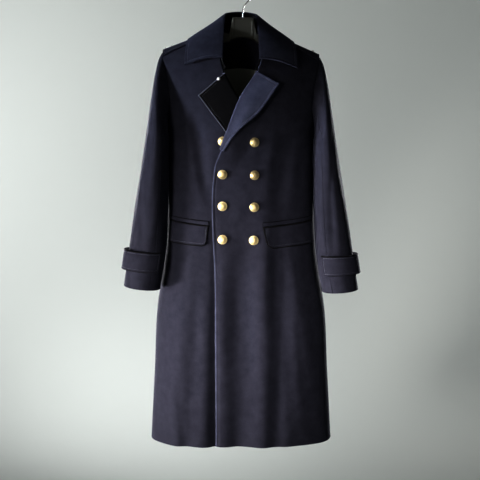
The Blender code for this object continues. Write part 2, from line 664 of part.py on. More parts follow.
_, fold, edge = collar_lines(leaf_stations)
inwards = towards_neck(fold)
rise = np.array([0.0, 0.0, FOLD_GAP])
start = fold - CLOTH / 2 * inwards + rise
middle = 0.58 * start + 0.42 * edge - 0.4 * COLLAR_BULGE * inwards + np.array([0.0, 0.0, COLLAR_BULGE])
across = np.array([0.0, 0.16, 0.36, 0.58, 0.8, 1.0])[:, None, None]
fall_lower = (1 - across) ** 2 * start + 2 * across * (1 - across) * middle + across ** 2 * edge
fall_lower = np.concatenate([(fold + CLOTH * inwards + rise)[None], fall_lower])
fall_out = unit(np.cross(np.gradient(fall_lower, axis=1), np.gradient(fall_lower, axis=0)))
fall_out = fall_out * np.sign(np.sum(fall_out * (fall_lower - (0.0, 0.0, -0.25)), axis=-1, keepdims=True))
wall("collar_fall", fall_lower + CLOTH * fall_out, fall_lower, navy_wool)

# Lining that shows inside the neck: rows and columns of the back panel, moved inside it.
LINING_TOP_RISE = 0.637
LINING_LOW_ROW = 11
LINING_SIDE = 4
LINING_GAP = 0.0010
LINING = 0.0012
top_row = int(np.searchsorted(levels, 1 + LINING_TOP_RISE))
top_part = (1 + LINING_TOP_RISE - levels[top_row - 1]) / (levels[top_row] - levels[top_row - 1])
lining_columns = slice(LINING_SIDE, -LINING_SIDE)
back_inner = back_outer - (CLOTH + LINING_GAP) * back_normals
back_deep = back_inner - LINING * back_normals


def lining_rows(grid):
    """Rows of a back grid from the lining's low edge to its top edge, which lies between two rows."""
    top = grid[top_row - 1] * (1 - top_part) + grid[top_row] * top_part
    return np.concatenate([grid[LINING_LOW_ROW:top_row], top[None]])[:, lining_columns]


wall("back_lining", lining_rows(back_inner), lining_rows(back_deep), lining_satin)

# Pocket flaps and the narrow welts above them. Both slope down towards the front edge and run round to the
# side. Each end gives the flap's upper and lower corner.
PocketEnd = namedtuple("PocketEnd", "top_x top_z low_x low_z")
Pocket = namedtuple("Pocket", "side front inner outer")
POCKETS = (
    Pocket(
        "left", "front_left",
        PocketEnd(0.0565, -0.629, 0.070, -0.688),
        PocketEnd(0.190, -0.609, 0.190, -0.673),
    ),
    Pocket(
        "right", "front_right",
        PocketEnd(-0.084, -0.630, -0.094, -0.686),
        PocketEnd(-0.190, -0.619, -0.190, -0.680),
    ),
)
POCKET_GAP = 0.0012
FLAP_HANG = 0.002
WELT = 0.002
WELT_HEIGHT = 0.011
WELT_CLEAR = 0.0006
pocket_along = np.linspace(0.0, 1.0, 10)
flap_down = np.linspace(0.0, 1.0, 4)[:, None]


def front_grid(name, inner_top, outer_top, inner_low, outer_low, down):
    """Points and normals on a front between four places seen from the front, even in level and angle."""
    corners = [locate(*place) for place in (inner_top, outer_top, inner_low, outer_low)]
    spread = []
    for which in range(2):
        top = corners[0][which] + (corners[1][which] - corners[0][which]) * pocket_along
        low = corners[2][which] + (corners[3][which] - corners[2][which]) * pocket_along
        spread.append(top + (low - top) * down)
    return panel(name, *spread)


for pocket in POCKETS:
    tops = [(end.top_x, end.top_z) for end in (pocket.inner, pocket.outer)]
    lows = [(end.low_x, end.low_z) for end in (pocket.inner, pocket.outer)]
    face, out = front_grid(pocket.front, *tops, *lows, flap_down)
    flap_inner = face + out * (POCKET_GAP + FLAP_HANG * flap_down ** 2)[..., None]
    wall("pocket_flap_" + pocket.side, flap_inner + CLOTH * out, flap_inner, navy_wool)
    welt_tops = [(x, z + WELT_HEIGHT) for x, z in tops]
    welt_lows = [(x, z + WELT_CLEAR) for x, z in tops]
    face, out = front_grid(pocket.front, *welt_tops, *welt_lows, np.array([[0.0], [1.0]]))
    wall("pocket_welt_" + pocket.side, face + (POCKET_GAP + WELT) * out, face + POCKET_GAP * out, navy_wool)

# Buttons and studs: turned profiles set on the cloth along its normal.
BUTTON_ROWS_Z = (-0.4085, -0.494, -0.578, -0.6655)
BUTTON_LEFT_X = 0.0345
BUTTON_RIGHT_X = -0.048
BUTTON_RADIUS = 0.0125
SET_GAP = 0.0007
BUTTON_PROFILE = (
    (0.0, 0.0),
    (0.004, 0.0),
    (0.004, 0.0014),
    (0.0118, 0.0014),
    (0.0126, 0.0024),
    (0.0120, 0.0036),
    (0.0098, 0.0056),
    (0.0058, 0.0074),
    (0.0, 0.0080),
)
STUD_PROFILE = (
    (0.0, 0.0),
    (0.0042, 0.0),
    (0.0044, 0.0008),
    (0.0034, 0.0022),
    (0.0, 0.0030),
)


def turned(name, profile, steps, point, normal, material):
    """Turned piece standing on a point of the cloth, facing along the normal."""
    mesh = bpy.data.meshes.new(name)
    count = len(profile)
    mesh.from_pydata([(radius, 0.0, height) for radius, height in profile],
                     [(index, index + 1) for index in range(count - 1)], [])
    mesh.materials.append(material)
    piece = bpy.data.objects.new(name, mesh)
    coat.objects.link(piece)
    screw = piece.modifiers.new("Turn", "SCREW")
    screw.steps = steps
    screw.render_steps = steps
    screw.use_merge_vertices = True
    screw.merge_threshold = 1e-5
    screw.use_normal_calculate = True
    facing = Vector(normal)
    piece.rotation_euler = facing.to_track_quat("Z", "Y").to_euler()
    piece.location = Vector(settle(np.asarray(point))) + SET_GAP * facing
    return piece


def set_button(name, panel_name, x, z):
    """Button on a front panel at a place seen from the front, square to the cloth and clear of it."""
    reach = BUTTON_RADIUS * np.array([(0, 0), (1, 0), (0, 1), (-1, 0), (0, -1)])
    spots, _ = panel(panel_name, *locate(x + reach[:, 0], z + reach[:, 1]))
    normal = unit(np.cross(spots[1] - spots[3], spots[2] - spots[4]))
    height = np.max((spots - spots[0]) @ normal)
    turned(name, BUTTON_PROFILE, 16, spots[0] + height * normal, normal, gilt)


# The lapel's roll leaves the top right button on the lower front.
for number, z in enumerate(BUTTON_ROWS_Z, 1):
    set_button("button_left_" + str(number), "front_left", BUTTON_LEFT_X, z)
    right_panel = "front_right" if number == 1 else "front_left"
    set_button("button_right_" + str(number), right_panel, BUTTON_RIGHT_X, z)

# Studs on the shoulder line of the epaulettes: name and x, which is negative on the wearer's right.
STUD_PLACES = (("left_1", 0.190), ("right_1", -0.182), ("right_2", -0.200))
for name, x in STUD_PLACES:
    point, normal = shoulder_strip(np.array([abs(x)]), np.array([0.0]))
    top = point + (EPAULETTE_GAP + CLOTH) * normal
    flip = np.array([math.copysign(1.0, x), 1.0, 1.0])
    turned("epaulette_stud_" + name, STUD_PROFILE, 10, top[0] * flip, normal[0] * flip, white_metal)

stud_row = right_lapel_face[0:2, 2:4]
stud_normal = unit(np.cross(stud_row[1, 0] - stud_row[0, 0], stud_row[0, 1] - stud_row[0, 0]))
stud_normal = stud_normal * -np.sign(stud_normal[1])
turned("lapel_stud", STUD_PROFILE, 10, stud_row.mean(axis=(0, 1)), stud_normal, white_metal)

# Hanger: a centre block over arched arms that follow the shoulder line inside the cloth. Stations run from
# the middle to one end, and the wire hook stands on the block.
BlockStation = namedtuple("BlockStation", "x top low half_depth")
HANGER_BLOCK = (
    BlockStation(0.000, -0.0760, -0.1290, 0.011),
    BlockStation(0.018, -0.0760, -0.1310, 0.011),
    BlockStation(0.0285, -0.0775, -0.1350, 0.011),
    BlockStation(0.0320, -0.1000, -0.1380, 0.012),
    BlockStation(0.0370, -0.1200, -0.1420, 0.013),
)
ArmStation = namedtuple("ArmStation", "x height half_depth")
HANGER_ARM = (
    ArmStation(0.055, 0.026, 0.014),
    ArmStation(0.080, 0.034, 0.016),
    ArmStation(0.115, 0.034, 0.018),
    ArmStation(0.150, 0.034, 0.018),
    ArmStation(0.180, 0.034, 0.016),
    ArmStation(0.192, 0.022, 0.009),
)
ARM_DROP = 0.0073
CORNERS = 12
section_turns = np.linspace(0.0, 2 * math.pi, CORNERS, endpoint=False)
section_y = np.sign(np.sin(section_turns)) * np.abs(np.sin(section_turns)) ** 0.8
section_z = np.sign(np.cos(section_turns)) * np.abs(np.cos(section_turns)) ** 0.8


def hanger_ring(x, top, low, half_depth):
    """Rounded section of the hanger."""
    z = (top + low) / 2 + (top - low) / 2 * section_z
    return np.stack([np.full(len(z), x), half_depth * section_y, z], axis=-1)


half_rings = {}
for side in (-1, 1):
    rings = []
    for row in HANGER_BLOCK:
        rings.append(hanger_ring(HOOK_OFFSET + side * row.x, row.top, row.low, row.half_depth))
    for row in HANGER_ARM:
        x = HOOK_OFFSET + side * row.x
        top = float(shoulder_z(x)) - ARM_DROP
        rings.append(hanger_ring(x, top, top - row.height, row.half_depth))
    half_rings[side] = rings
hanger_rows = half_rings[-1][:0:-1] + half_rings[1]
ring_count = len(hanger_rows)
hanger_faces = [tuple(range(CORNERS)), tuple(range((ring_count - 1) * CORNERS, ring_count * CORNERS))]
for row in range(ring_count - 1):
    near = row * CORNERS
    far = near + CORNERS
    for corner in range(CORNERS):
        following = (corner + 1) % CORNERS
        hanger_faces.append((near + corner, near + following, far + following, far + corner))
add_object("hanger", np.concatenate(hanger_rows), hanger_faces, hanger_plastic)

WIRE_RADIUS = 0.00175
HOOK_INSIDE = 0.01825
HOOK_BEND_Z = -0.051
HOOK_FOOT_Z = -0.0757
HOOK_START = math.radians(-37)
HOOK_END = math.radians(205)
hook_radius = HOOK_INSIDE + WIRE_RADIUS
hook_path = [(0.0, HOOK_FOOT_Z), (0.0, HOOK_BEND_Z - 0.004), (0.0024, HOOK_BEND_Z + 0.003)]
for turn in np.linspace(HOOK_START, HOOK_END, 22):
    hook_path.append((hook_radius * math.cos(turn), -HOOK_INSIDE + hook_radius * math.sin(turn)))
wire = bpy.data.curves.new("hanger_hook", "CURVE")
wire.dimensions = "3D"
wire.bevel_depth = WIRE_RADIUS
wire.bevel_resolution = 2
wire.use_fill_caps = True
spline = wire.splines.new("POLY")
spline.points.add(len(hook_path) - 1)
for place, (x, z) in zip(spline.points, hook_path):
    place.co = (x, 0.0, z, 1.0)
wire.materials.append(hook_steel)
hook = bpy.data.objects.new("hanger_hook", wire)
coat.objects.link(hook)
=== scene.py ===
"""Looks of a long double-breasted wool coat that hangs on a moulded hanger.

The cloth is worked out finely on the same form as the solids. Metres, +Z up, the front faces -Y and the
wearer's left is +X. The origin is the inside top of the hook, where a rail carries it.
"""
from collections import namedtuple
import math

import bpy
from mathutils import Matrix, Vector
import numpy as np


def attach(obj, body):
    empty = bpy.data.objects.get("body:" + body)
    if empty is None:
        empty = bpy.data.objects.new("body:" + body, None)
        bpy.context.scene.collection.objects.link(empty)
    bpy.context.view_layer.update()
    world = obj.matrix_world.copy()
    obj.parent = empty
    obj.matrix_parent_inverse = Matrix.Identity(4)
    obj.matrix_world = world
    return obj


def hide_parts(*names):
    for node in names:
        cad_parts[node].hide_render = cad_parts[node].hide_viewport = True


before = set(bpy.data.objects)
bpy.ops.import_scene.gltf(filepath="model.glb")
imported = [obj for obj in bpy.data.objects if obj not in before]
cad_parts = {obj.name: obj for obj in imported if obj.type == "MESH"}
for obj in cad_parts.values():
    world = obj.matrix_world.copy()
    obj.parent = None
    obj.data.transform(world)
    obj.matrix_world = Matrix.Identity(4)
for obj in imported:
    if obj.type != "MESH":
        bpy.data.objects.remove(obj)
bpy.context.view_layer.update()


# Body panels. Thick navy wool coating, felted and brushed so that no weave shows. It is cut as one back and
# two fronts that lap left over right, sewn down the sides and along the shoulders, and the hem hangs free.
CLOTH = 0.003
SEAM_GAP = 0.0003
LAP_GAP = 0.0005
HEM_Z = -1.230
ARMPIT_Z = -0.385
NECK_HALF = 0.060
NECK_POINT_Z = -0.1135
SHOULDER_HALF = 0.213
SHOULDER_SLOPE = 0.406
SHOULDER_Y = 0.005
NECK_BACK_Y = 0.060
ROUNDNESS = 2.4
HOOK_OFFSET = 0.0053
HANG_TILT = 0.030
TILT_TOP_Z = -0.400
YOKE_RISE_POWER = 2.4
YOKE_ROUND_POWER = 1.8
LAP_SIDE_FADE = (0.068, 0.110)
LAP_TOP_FADE = (-0.310, -0.240)
LIFT_FADE = (0.022, 0.070)
FOLD_FADE = 0.35
EDGE_ROUNDS = 60
ROLL = 0.0016
THINNEST = 0.15
STITCH_DIP = 0.0007
STITCH_DIP_HALF = 0.0012
STITCH_PUFF = 0.0004
PUFF_PLACE = 0.45
PUFF_HALF = 0.35
NEAR_EDGE = (0.0, 0.0004, 0.0010, 0.0018, 0.0030, 0.0046, 0.0058, 0.0070, 0.0086, 0.0110)

BodyRow = namedtuple("BodyRow", "z half_width front_y side_y back_y")
BODY_ROWS = (
    BodyRow(-1.230, 0.252, -0.100, 0.008, 0.092),
    BodyRow(-1.040, 0.241, -0.100, 0.010, 0.088),
    BodyRow(-0.842, 0.229, -0.0995, 0.013, 0.082),
    BodyRow(-0.760, 0.215, -0.099, 0.014, 0.078),
    BodyRow(-0.700, 0.207, -0.098, 0.015, 0.075),
    BodyRow(-0.630, 0.2025, -0.096, 0.015, 0.072),
    BodyRow(-0.560, 0.2005, -0.095, 0.014, 0.070),
    BodyRow(-0.470, 0.1998, -0.096, 0.012, 0.074),
    BodyRow(-0.410, 0.1990, -0.097, 0.011, 0.077),
    BodyRow(-0.385, 0.1975, -0.097, 0.010, 0.078),
)
ArmholeRow = namedtuple("ArmholeRow", "rise angle x")
ARMHOLE_ROWS = (
    ArmholeRow(0.00, math.radians(90), 0.1975),
    ArmholeRow(0.12, math.radians(74), 0.1945),
    ArmholeRow(0.30, math.radians(63), 0.189),
    ArmholeRow(0.55, math.radians(58), 0.193),
    ArmholeRow(0.80, math.radians(56), 0.203),
    ArmholeRow(1.00, math.radians(56), SHOULDER_HALF),
)
EdgePoint = namedtuple("EdgePoint", "z x")
OVER_EDGE = (
    EdgePoint(-1.230, -0.070),
    EdgePoint(-0.800, -0.0705),
    EdgePoint(-0.506, -0.072),
    EdgePoint(-0.470, -0.067),
    EdgePoint(-0.440, -0.055),
    EdgePoint(-0.407, -0.0436),
    EdgePoint(-0.381, -0.0336),
    EdgePoint(-0.296, 0.000),
    EdgePoint(-0.222, 0.043),
    EdgePoint(-0.188, 0.054),
    EdgePoint(-0.150, 0.059),
    EdgePoint(NECK_POINT_Z, NECK_HALF),
)
UNDER_EDGE = (
    EdgePoint(-1.230, 0.062),
    EdgePoint(-0.800, 0.062),
    EdgePoint(-0.520, 0.063),
    EdgePoint(-0.440, 0.060),
    EdgePoint(-0.405, 0.046),
    EdgePoint(-0.308, -0.003),
    EdgePoint(-0.230, -0.045),
    EdgePoint(-0.188, -0.055),
    EdgePoint(-0.150, -0.059),
    EdgePoint(NECK_POINT_Z, -NECK_HALF),
)
EdgeLift = namedtuple("EdgeLift", "z lift")
OVER_LIFT = (
    EdgeLift(-0.560, 0.0),
    EdgeLift(-0.500, 0.002),
    EdgeLift(-0.455, 0.008),
    EdgeLift(-0.420, 0.011),
    EdgeLift(-0.380, 0.011),
    EdgeLift(-0.330, 0.010),
    EdgeLift(-0.290, 0.007),
    EdgeLift(-0.240, 0.002),
    EdgeLift(-0.200, 0.0),
)

# Folds and creases: a line from top to low end, the half width, and how far the cloth swells out (or in).
Fold = namedtuple("Fold", "x_top z_top x_low z_low half_width swell")
FRONT_FOLDS = (
    Fold(0.045, -0.640, 0.056, HEM_Z, 0.026, 0.007),
    Fold(0.083, -0.640, 0.092, HEM_Z, 0.022, -0.012),
    Fold(0.120, -0.720, 0.146, HEM_Z, 0.034, 0.014),
    Fold(-0.012, -0.700, -0.012, HEM_Z, 0.034, -0.007),
    Fold(-0.098, -0.700, -0.104, HEM_Z, 0.022, 0.007),
    Fold(-0.128, -0.740, -0.136, HEM_Z, 0.020, -0.006),
    Fold(-0.160, -0.720, -0.176, HEM_Z, 0.034, 0.013),
    Fold(-0.152, -0.310, -0.100, -0.580, 0.026, -0.005),
    Fold(0.112, -0.350, 0.060, -0.600, 0.026, -0.005),
)
BACK_FOLDS = (
    Fold(0.000, -0.500, 0.000, HEM_Z, 0.036, -0.010),
    Fold(0.060, -0.560, 0.086, HEM_Z, 0.034, 0.011),
    Fold(-0.060, -0.560, -0.086, HEM_Z, 0.034, 0.011),
    Fold(0.115, -0.620, 0.142, HEM_Z, 0.026, -0.008),
    Fold(-0.115, -0.620, -0.142, HEM_Z, 0.026, -0.008),
    Fold(0.150, -0.700, 0.190, HEM_Z, 0.030, 0.008),
    Fold(-0.150, -0.700, -0.190, HEM_Z, 0.030, 0.008),
)
FRONT_CREASES = (
    Fold(-0.118, -0.250, -0.128, -0.420, 0.020, -0.0012),
    Fold(-0.176, -0.330, -0.150, -0.560, 0.014, -0.0026),
    Fold(-0.126, -0.300, -0.078, -0.620, 0.016, -0.0064),
    Fold(-0.156, -0.310, -0.108, -0.590, 0.015, 0.0052),
    Fold(0.142, -0.340, 0.086, -0.630, 0.018, -0.0045),
    Fold(0.098, -0.350, 0.050, -0.610, 0.016, 0.0035),
    Fold(0.168, -0.400, 0.150, -0.590, 0.012, -0.0022),
    Fold(0.016, -0.560, 0.040, HEM_Z, 0.028, -0.0072),
    Fold(0.061, -0.540, 0.093, HEM_Z, 0.018, 0.0072),
    Fold(0.087, -0.580, 0.158, HEM_Z, 0.027, -0.0070),
    Fold(0.121, -0.620, 0.234, HEM_Z, 0.023, 0.0065),
    Fold(-0.010, -0.600, -0.002, HEM_Z, 0.030, -0.0068),
    Fold(0.111, -0.720, 0.140, HEM_Z, 0.024, -0.0070),
    Fold(-0.102, -0.600, -0.067, HEM_Z, 0.020, -0.0021),
    Fold(-0.140, -0.620, -0.129, HEM_Z, 0.016, 0.0049),
    Fold(-0.204, -0.600, -0.157, HEM_Z, 0.013, -0.0031),
    Fold(-0.068, -0.560, -0.070, HEM_Z, 0.010, -0.0070),
    Fold(0.020, -0.700, 0.030, -1.090, 0.012, -0.0014),
    Fold(0.148, -0.780, 0.172, -1.140, 0.014, -0.0020),
    Fold(-0.190, -0.800, -0.205, -1.160, 0.013, -0.0022),
)
BACK_CREASES = (
    Fold(-0.150, -0.300, -0.110, -0.560, 0.022, -0.0042),
    Fold(0.140, -0.310, 0.112, -0.540, 0.020, -0.0036),
    Fold(-0.030, -0.420, -0.052, -0.660, 0.018, 0.0022),
    Fold(0.036, -0.460, 0.030, -0.640, 0.016, -0.0020),
    Fold(-0.170, -0.480, -0.150, -0.660, 0.014, 0.0024),
    Fold(0.172, -0.440, 0.160, -0.640, 0.013, -0.0024),
)
Ripple = namedtuple("Ripple", "x_length z_length phase height")
RIPPLES = (
    Ripple(0.190, 0.610, 0.4, 0.0008),
    Ripple(-0.083, 0.470, 2.1, 0.0005),
    Ripple(0.310, -0.230, 4.0, 0.0006),
)


def through(knots, values, at):
    """Smooth curve through the values, with the slope at each knot taken from its neighbours."""
    knots = np.asarray(knots, float)
    values = np.asarray(values, float)
    slopes = np.gradient(values, knots, axis=0)
    at = np.clip(np.asarray(at, float), knots[0], knots[-1])
    cell = np.clip(np.searchsorted(knots, at, side="right") - 1, 0, len(knots) - 2)
    width = knots[cell + 1] - knots[cell]
    part = (at - knots[cell]) / width
    if values.ndim > 1:
        part = part[..., None]
        width = width[..., None]
    rise = part * part * (3 - 2 * part)
    start = part * (1 - part) ** 2
    end = part * part * (part - 1)
    ends = values[cell] * (1 - rise) + values[cell + 1] * rise
    return ends + (slopes[cell] * start + slopes[cell + 1] * end) * width


def from_table(rows, key, column, at):
    """One column of a table of sizes, as a smooth curve over its key column."""
    return through([getattr(row, key) for row in rows], [getattr(row, column) for row in rows], at)


def between(at, knots, table):
    """Each column of a table, read along straight lines between its knots."""
    return np.stack([np.interp(at, knots, column) for column in np.asarray(table).T], axis=-1)


def ease(low, high, at):
    """Smooth step from 0 at low to 1 at high."""
    part = np.clip((at - low) / (high - low), 0.0, 1.0)
    return part * part * (3 - 2 * part)


def squared_off(wave, power):
    """Wave between -1 and 1 that is flattened towards a square one by a power below 1."""
    return np.sign(wave) * np.abs(wave) ** power


def unit(vectors):
    """Vectors scaled to length 1."""
    return vectors / np.maximum(np.linalg.norm(vectors, axis=-1, keepdims=True), 1e-12)


def body_size(column, z):
    """One column of the body table at the given heights."""
    return from_table(BODY_ROWS, "z", column, z)


def shoulder_z(x):
    """Height of the shoulder line, carried across the neck as a flat arch."""
    reach = np.abs(x)
    arch = NECK_POINT_Z + SHOULDER_SLOPE * NECK_HALF / 2 * (1 - (reach / NECK_HALF) ** 2)
    slope = NECK_POINT_Z - SHOULDER_SLOPE * (reach - NECK_HALF)
    return np.where(reach < NECK_HALF, arch, slope)


def swell(folds, x, z):
    """How far the folds push the cloth out: a bell across each line, faded at its ends but not at the hem."""
    total = np.zeros_like(x)
    for fold in folds:
        down = np.clip((fold.z_top - z) / (fold.z_top - fold.z_low), 0.0, 1.0)
        centre = fold.x_top + (fold.x_low - fold.x_top) * down
        fade = ease(0.0, FOLD_FADE, down)
        if fold.z_low > HEM_Z:
            fade = fade * (1 - ease(1 - FOLD_FADE, 1.0, down))
        total = total + fold.swell * fade * np.exp(-((x - centre) / fold.half_width) ** 2)
    return total


def ripple(x, z):
    """Slight unevenness of hanging cloth: a few long slanting waves added together."""
    total = np.zeros_like(x)
    for row in RIPPLES:
        cycles = x / row.x_length + z / row.z_length
        total = total + row.height * np.sin(2 * math.pi * cycles + row.phase)
    return total


def armhole_size(column, level):
    """One column of the armhole table at the given levels."""
    rise = np.clip(np.asarray(level, float) - 1, 0.0, 1.0)
    return from_table(ARMHOLE_ROWS, "rise", column, rise)


def base_height(level):
    """Height of a level's section, which stays at the armpit from there on."""
    return HEM_Z + (ARMPIT_Z - HEM_Z) * np.clip(level, 0.0, 1.0)


def half_width_at(level):
    """Half width of the section at a level: 0 to 1 from hem to armpit, 1 to 2 on to the shoulder seam."""
    level = np.asarray(level, float)
    yoke = armhole_size("x", level) / np.sin(armhole_size("angle", level)) ** (2 / ROUNDNESS)
    return np.where(level < 1, body_size("half_width", base_height(level)), yoke)


def angle_at(x, level):
    """Angle of a section's point at this x, from the rounded rectangle's formula turned round."""
    across = np.clip(np.abs(x) / half_width_at(level), 0.0, 1.0)
    return np.sign(x) * np.arcsin(across ** (ROUNDNESS / 2))


def body_point(level, angle, back):
    """Outer face of the body: level as above, angle 0 at the centre of the front or back, 90 at the side.

    Sections are rounded rectangles. Above the armpit each point climbs towards the shoulder line while its
    depth shrinks along a quarter round. Folds, creases and ripples then move it along the depth.
    """
    level, angle = np.broadcast_arrays(np.asarray(level, float), np.asarray(angle, float))
    base_z = base_height(level)
    rise = np.clip(level - 1, 0.0, 1.0)
    across = squared_off(np.sin(angle), 2 / ROUNDNESS)
    along = np.abs(np.cos(angle)) ** (2 / ROUNDNESS)
    x = half_width_at(level) * across
    z = base_z + (shoulder_z(x) - ARMPIT_Z) * rise
    side_y = body_size("side_y", base_z)
    reach_y = body_size("back_y" if back else "front_y", base_z)
    level_y = side_y + (reach_y - side_y) * along
    neck = np.sqrt(np.clip(1 - (x / NECK_HALF) ** 2, 0.0, 1.0))
    top_y = SHOULDER_Y + (NECK_BACK_Y - SHOULDER_Y) * neck * (1.0 if back else 0.0)
    fullness = (1 - rise ** YOKE_RISE_POWER) ** (1 / YOKE_ROUND_POWER)
    y = top_y + (level_y - top_y) * fullness
    if back:
        folds = swell(BACK_FOLDS + BACK_CREASES, x, z) + ripple(x, z) * fullness
    else:
        folds = -swell(FRONT_FOLDS + FRONT_CREASES, x, z) - ripple(x, z) * fullness
    return np.stack([x, y + folds * along, z], axis=-1)


def body_normal(level, angle, back):
    """Outward normal of the body's outer face."""
    step = 1e-3
    limit = math.radians(89)
    level = np.clip(level, step, 2 - 2 * step)
    angle = np.clip(angle, -limit, limit)
    up = body_point(level + step, angle, back) - body_point(level - step, angle, back)
    turn = body_point(level, angle + step, back) - body_point(level, angle - step, back)
    normal = unit(np.cross(turn, up))
    return -normal if back else normal


def over_offset(point):
    """How far the upper front lies outside the body form: over the lower front, and at the rolling edge."""
    x = point[..., 0]
    z = point[..., 2]
    lap = (CLOTH + LAP_GAP) * (1 - ease(*LAP_SIDE_FADE, x)) * (1 - ease(*LAP_TOP_FADE, z))
    lift = from_table(OVER_LIFT, "z", "lift", z)
    edge_x = from_table(OVER_EDGE, "z", "x", z)
    return lap + lift * (1 - ease(*LIFT_FADE, x - edge_x))


def panel(name, level, angle):
    """Outer points and normals of the back, the upper front (left) or the lower front (right)."""
    back = name == "back"
    points = body_point(level, angle, back)
    normals = body_normal(level, angle, back)
    if name == "front_left":
        points = points + normals * over_offset(points)[..., None]
    return points, normals


def locate(x, z):
    """Level and angle of the body point that is seen from the front at x and z."""
    x = np.asarray(x, float)
    z = np.asarray(z, float)
    level = np.where(
        z < ARMPIT_Z,
        (z - HEM_Z) / (ARMPIT_Z - HEM_Z),
        1 + (z - ARMPIT_Z) / (shoulder_z(x) - ARMPIT_Z),
    )
    level = np.clip(level, 0.0, 2.0)
    return level, angle_at(x, level)


def edge_angle(edge, level):
    """Angle at which each level meets a front edge, found by going halfway to the edge in many rounds."""
    level = np.asarray(level, float)
    base_z = base_height(level)
    rise = np.clip(level - 1, 0.0, 1.0)
    x = from_table(edge, "z", "x", base_z)
    for _ in range(EDGE_ROUNDS):
        z = base_z + (shoulder_z(x) - ARMPIT_Z) * rise
        x = 0.5 * x + 0.5 * from_table(edge, "z", "x", z)
    return angle_at(x, level)


def settle(points):
    """Points moved from the coat's own centre line to the hook, with the shoulders' slight tilt."""
    x = points[..., 0] - HOOK_OFFSET
    z = points[..., 2]
    drop = x * HANG_TILT * ease(HEM_Z, TILT_TOP_Z, z)
    return np.stack([x, points[..., 1], z - drop], axis=-1)


def graded(length, step, near=NEAR_EDGE):
    """Fractions of a length from 0 to 1: close together near both ends, where cloth rolls over, else even."""
    near = np.array(near)
    count = max(3, round((length - 2 * near[-1]) / step) + 1)
    inside = np.linspace(near[-1], length - near[-1], count)
    return np.concatenate([near[:-1], inside, (length - near[:-1])[::-1]]) / length


def from_border(points, border):
    """Distance of each grid point from one border, summed along the grid lines that leave it."""
    axis = 0 if border in ("low", "high") else 1
    step = np.linalg.norm(np.diff(points, axis=axis), axis=-1)
    start = np.zeros_like(np.take(step, [0], axis=axis))
    reach = np.concatenate([start, np.cumsum(step, axis=axis)], axis=axis)
    if border in ("high", "right"):
        reach = np.take(reach, [-1], axis=axis) - reach
    return reach


def stitched(points, normals, borders, inset, share=1.0):
    """Outer face pressed in along a row of stitches: a narrow dip at the inset and a slight puff outside."""
    pressed = points
    for border in borders:
        reach = from_border(points, border)
        dip = STITCH_DIP * np.exp(-((reach - inset) / STITCH_DIP_HALF) ** 2)
        puff = STITCH_PUFF * np.exp(-((reach - PUFF_PLACE * inset) / (PUFF_HALF * inset)) ** 2)
        pressed = pressed + normals * (share * (puff - dip))[..., None]
    return pressed


def smooth_object(name, points, quads, material):
    """Smooth-shaded mesh object from whole arrays of points and of each face's corners."""
    points = points.reshape(-1, 3).astype(np.float32)
    mesh = bpy.data.meshes.new(name)
    mesh.vertices.add(len(points))
    mesh.vertices.foreach_set("co", points.ravel())
    mesh.loops.add(quads.size)
    mesh.loops.foreach_set("vertex_index", quads.astype(np.int32).ravel())
    mesh.polygons.add(len(quads))
    mesh.polygons.foreach_set("loop_start", np.arange(0, quads.size, quads.shape[1], dtype=np.int32))
    mesh.polygons.foreach_set("use_smooth", np.ones(len(quads), dtype=bool))
    mesh.update(calc_edges=True)
    mesh.validate()
    mesh.materials.append(material)
    piece = bpy.data.objects.new(name, mesh)
    bpy.context.scene.collection.objects.link(piece)
    return piece


def add_piece(name, points, quads, material):
    """Piece of the coat, fixed to its one body."""
    piece = smooth_object(name, points, quads, material)
    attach(piece, "root")
    return piece


def grid_cells(rows, columns, closed=False):
    """Four corner numbers for each cell of a grid. A closed grid joins its last column to its first."""
    number = np.arange(rows * columns).reshape(rows, columns)
    if closed:
        number = np.concatenate([number, number[:, :1]], axis=1)
    corners = [number[:-1, :-1], number[:-1, 1:], number[1:, 1:], number[1:, :-1]]
    return np.stack(corners, axis=-1).reshape(-1, 4)


def cloth_wall(name, points, normals, material, thickness=CLOTH, rolls=None):
    """Closed wall under an outer face. Within each border's roll it thins round a quarter ellipse."""
    rolls = rolls or {}
    keep = np.ones(points.shape[:2])
    for border in ("low", "high", "left", "right"):
        part = np.clip(from_border(points, border) / rolls.get(border, ROLL), 0.0, 1.0)
        keep = keep * np.sqrt(1 - (1 - part) ** 2)
    half = thickness / 2 * np.maximum(keep, THINNEST)[..., None]
    middle = points - thickness / 2 * normals
    rows, columns = points.shape[:2]
    count = rows * columns
    cells = grid_cells(rows, columns)
    number = np.arange(count).reshape(rows, columns)
    rim = np.concatenate([number[0], number[1:, -1], number[-1, -2::-1], number[-2:0:-1, 0]])
    following = np.roll(rim, -1)
    edge = np.stack([rim, rim + count, following + count, following], axis=-1)
    quads = np.concatenate([cells, cells[:, ::-1] + count, edge])
    faced = np.cross(points[1:, :-1] - points[:-1, :-1], points[:-1, 1:] - points[:-1, :-1])
    if np.sum(faced * normals[:-1, :-1]) > 0:
        quads = quads[:, ::-1]
    both = np.stack([middle + half * normals, middle - half * normals])
    return add_piece(name, settle(both), quads, material)


def paint_edge_light_shade(piece, face, borders, depth, material):
    """Given material as painted highlight or painted shade on a cloth wall's turned edge and a strip of face
    by the borders.
    """
    near = np.min([from_border(face, border) for border in borders], axis=0)[:-1, :-1] < depth
    tone_choice = np.zeros(len(piece.data.polygons), dtype=np.int32)
    tone_choice[:near.size] = near.ravel()
    tone_choice[2 * near.size:] = 1
    piece.data.materials.append(material)
    piece.data.polygons.foreach_set("material_index", tone_choice)


def dress(piece, node):
    """The piece stands for its solid, which is hidden."""
    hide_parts(node)
    return piece


def new_finish(name, values):
    """Material with these constant values on its shader's own sockets."""
    material = bpy.data.materials.new(name)
    material.use_nodes = True
    shader = material.node_tree.nodes["Principled BSDF"]
    for socket, value in values.items():
        shader.inputs[socket].default_value = value
    return material


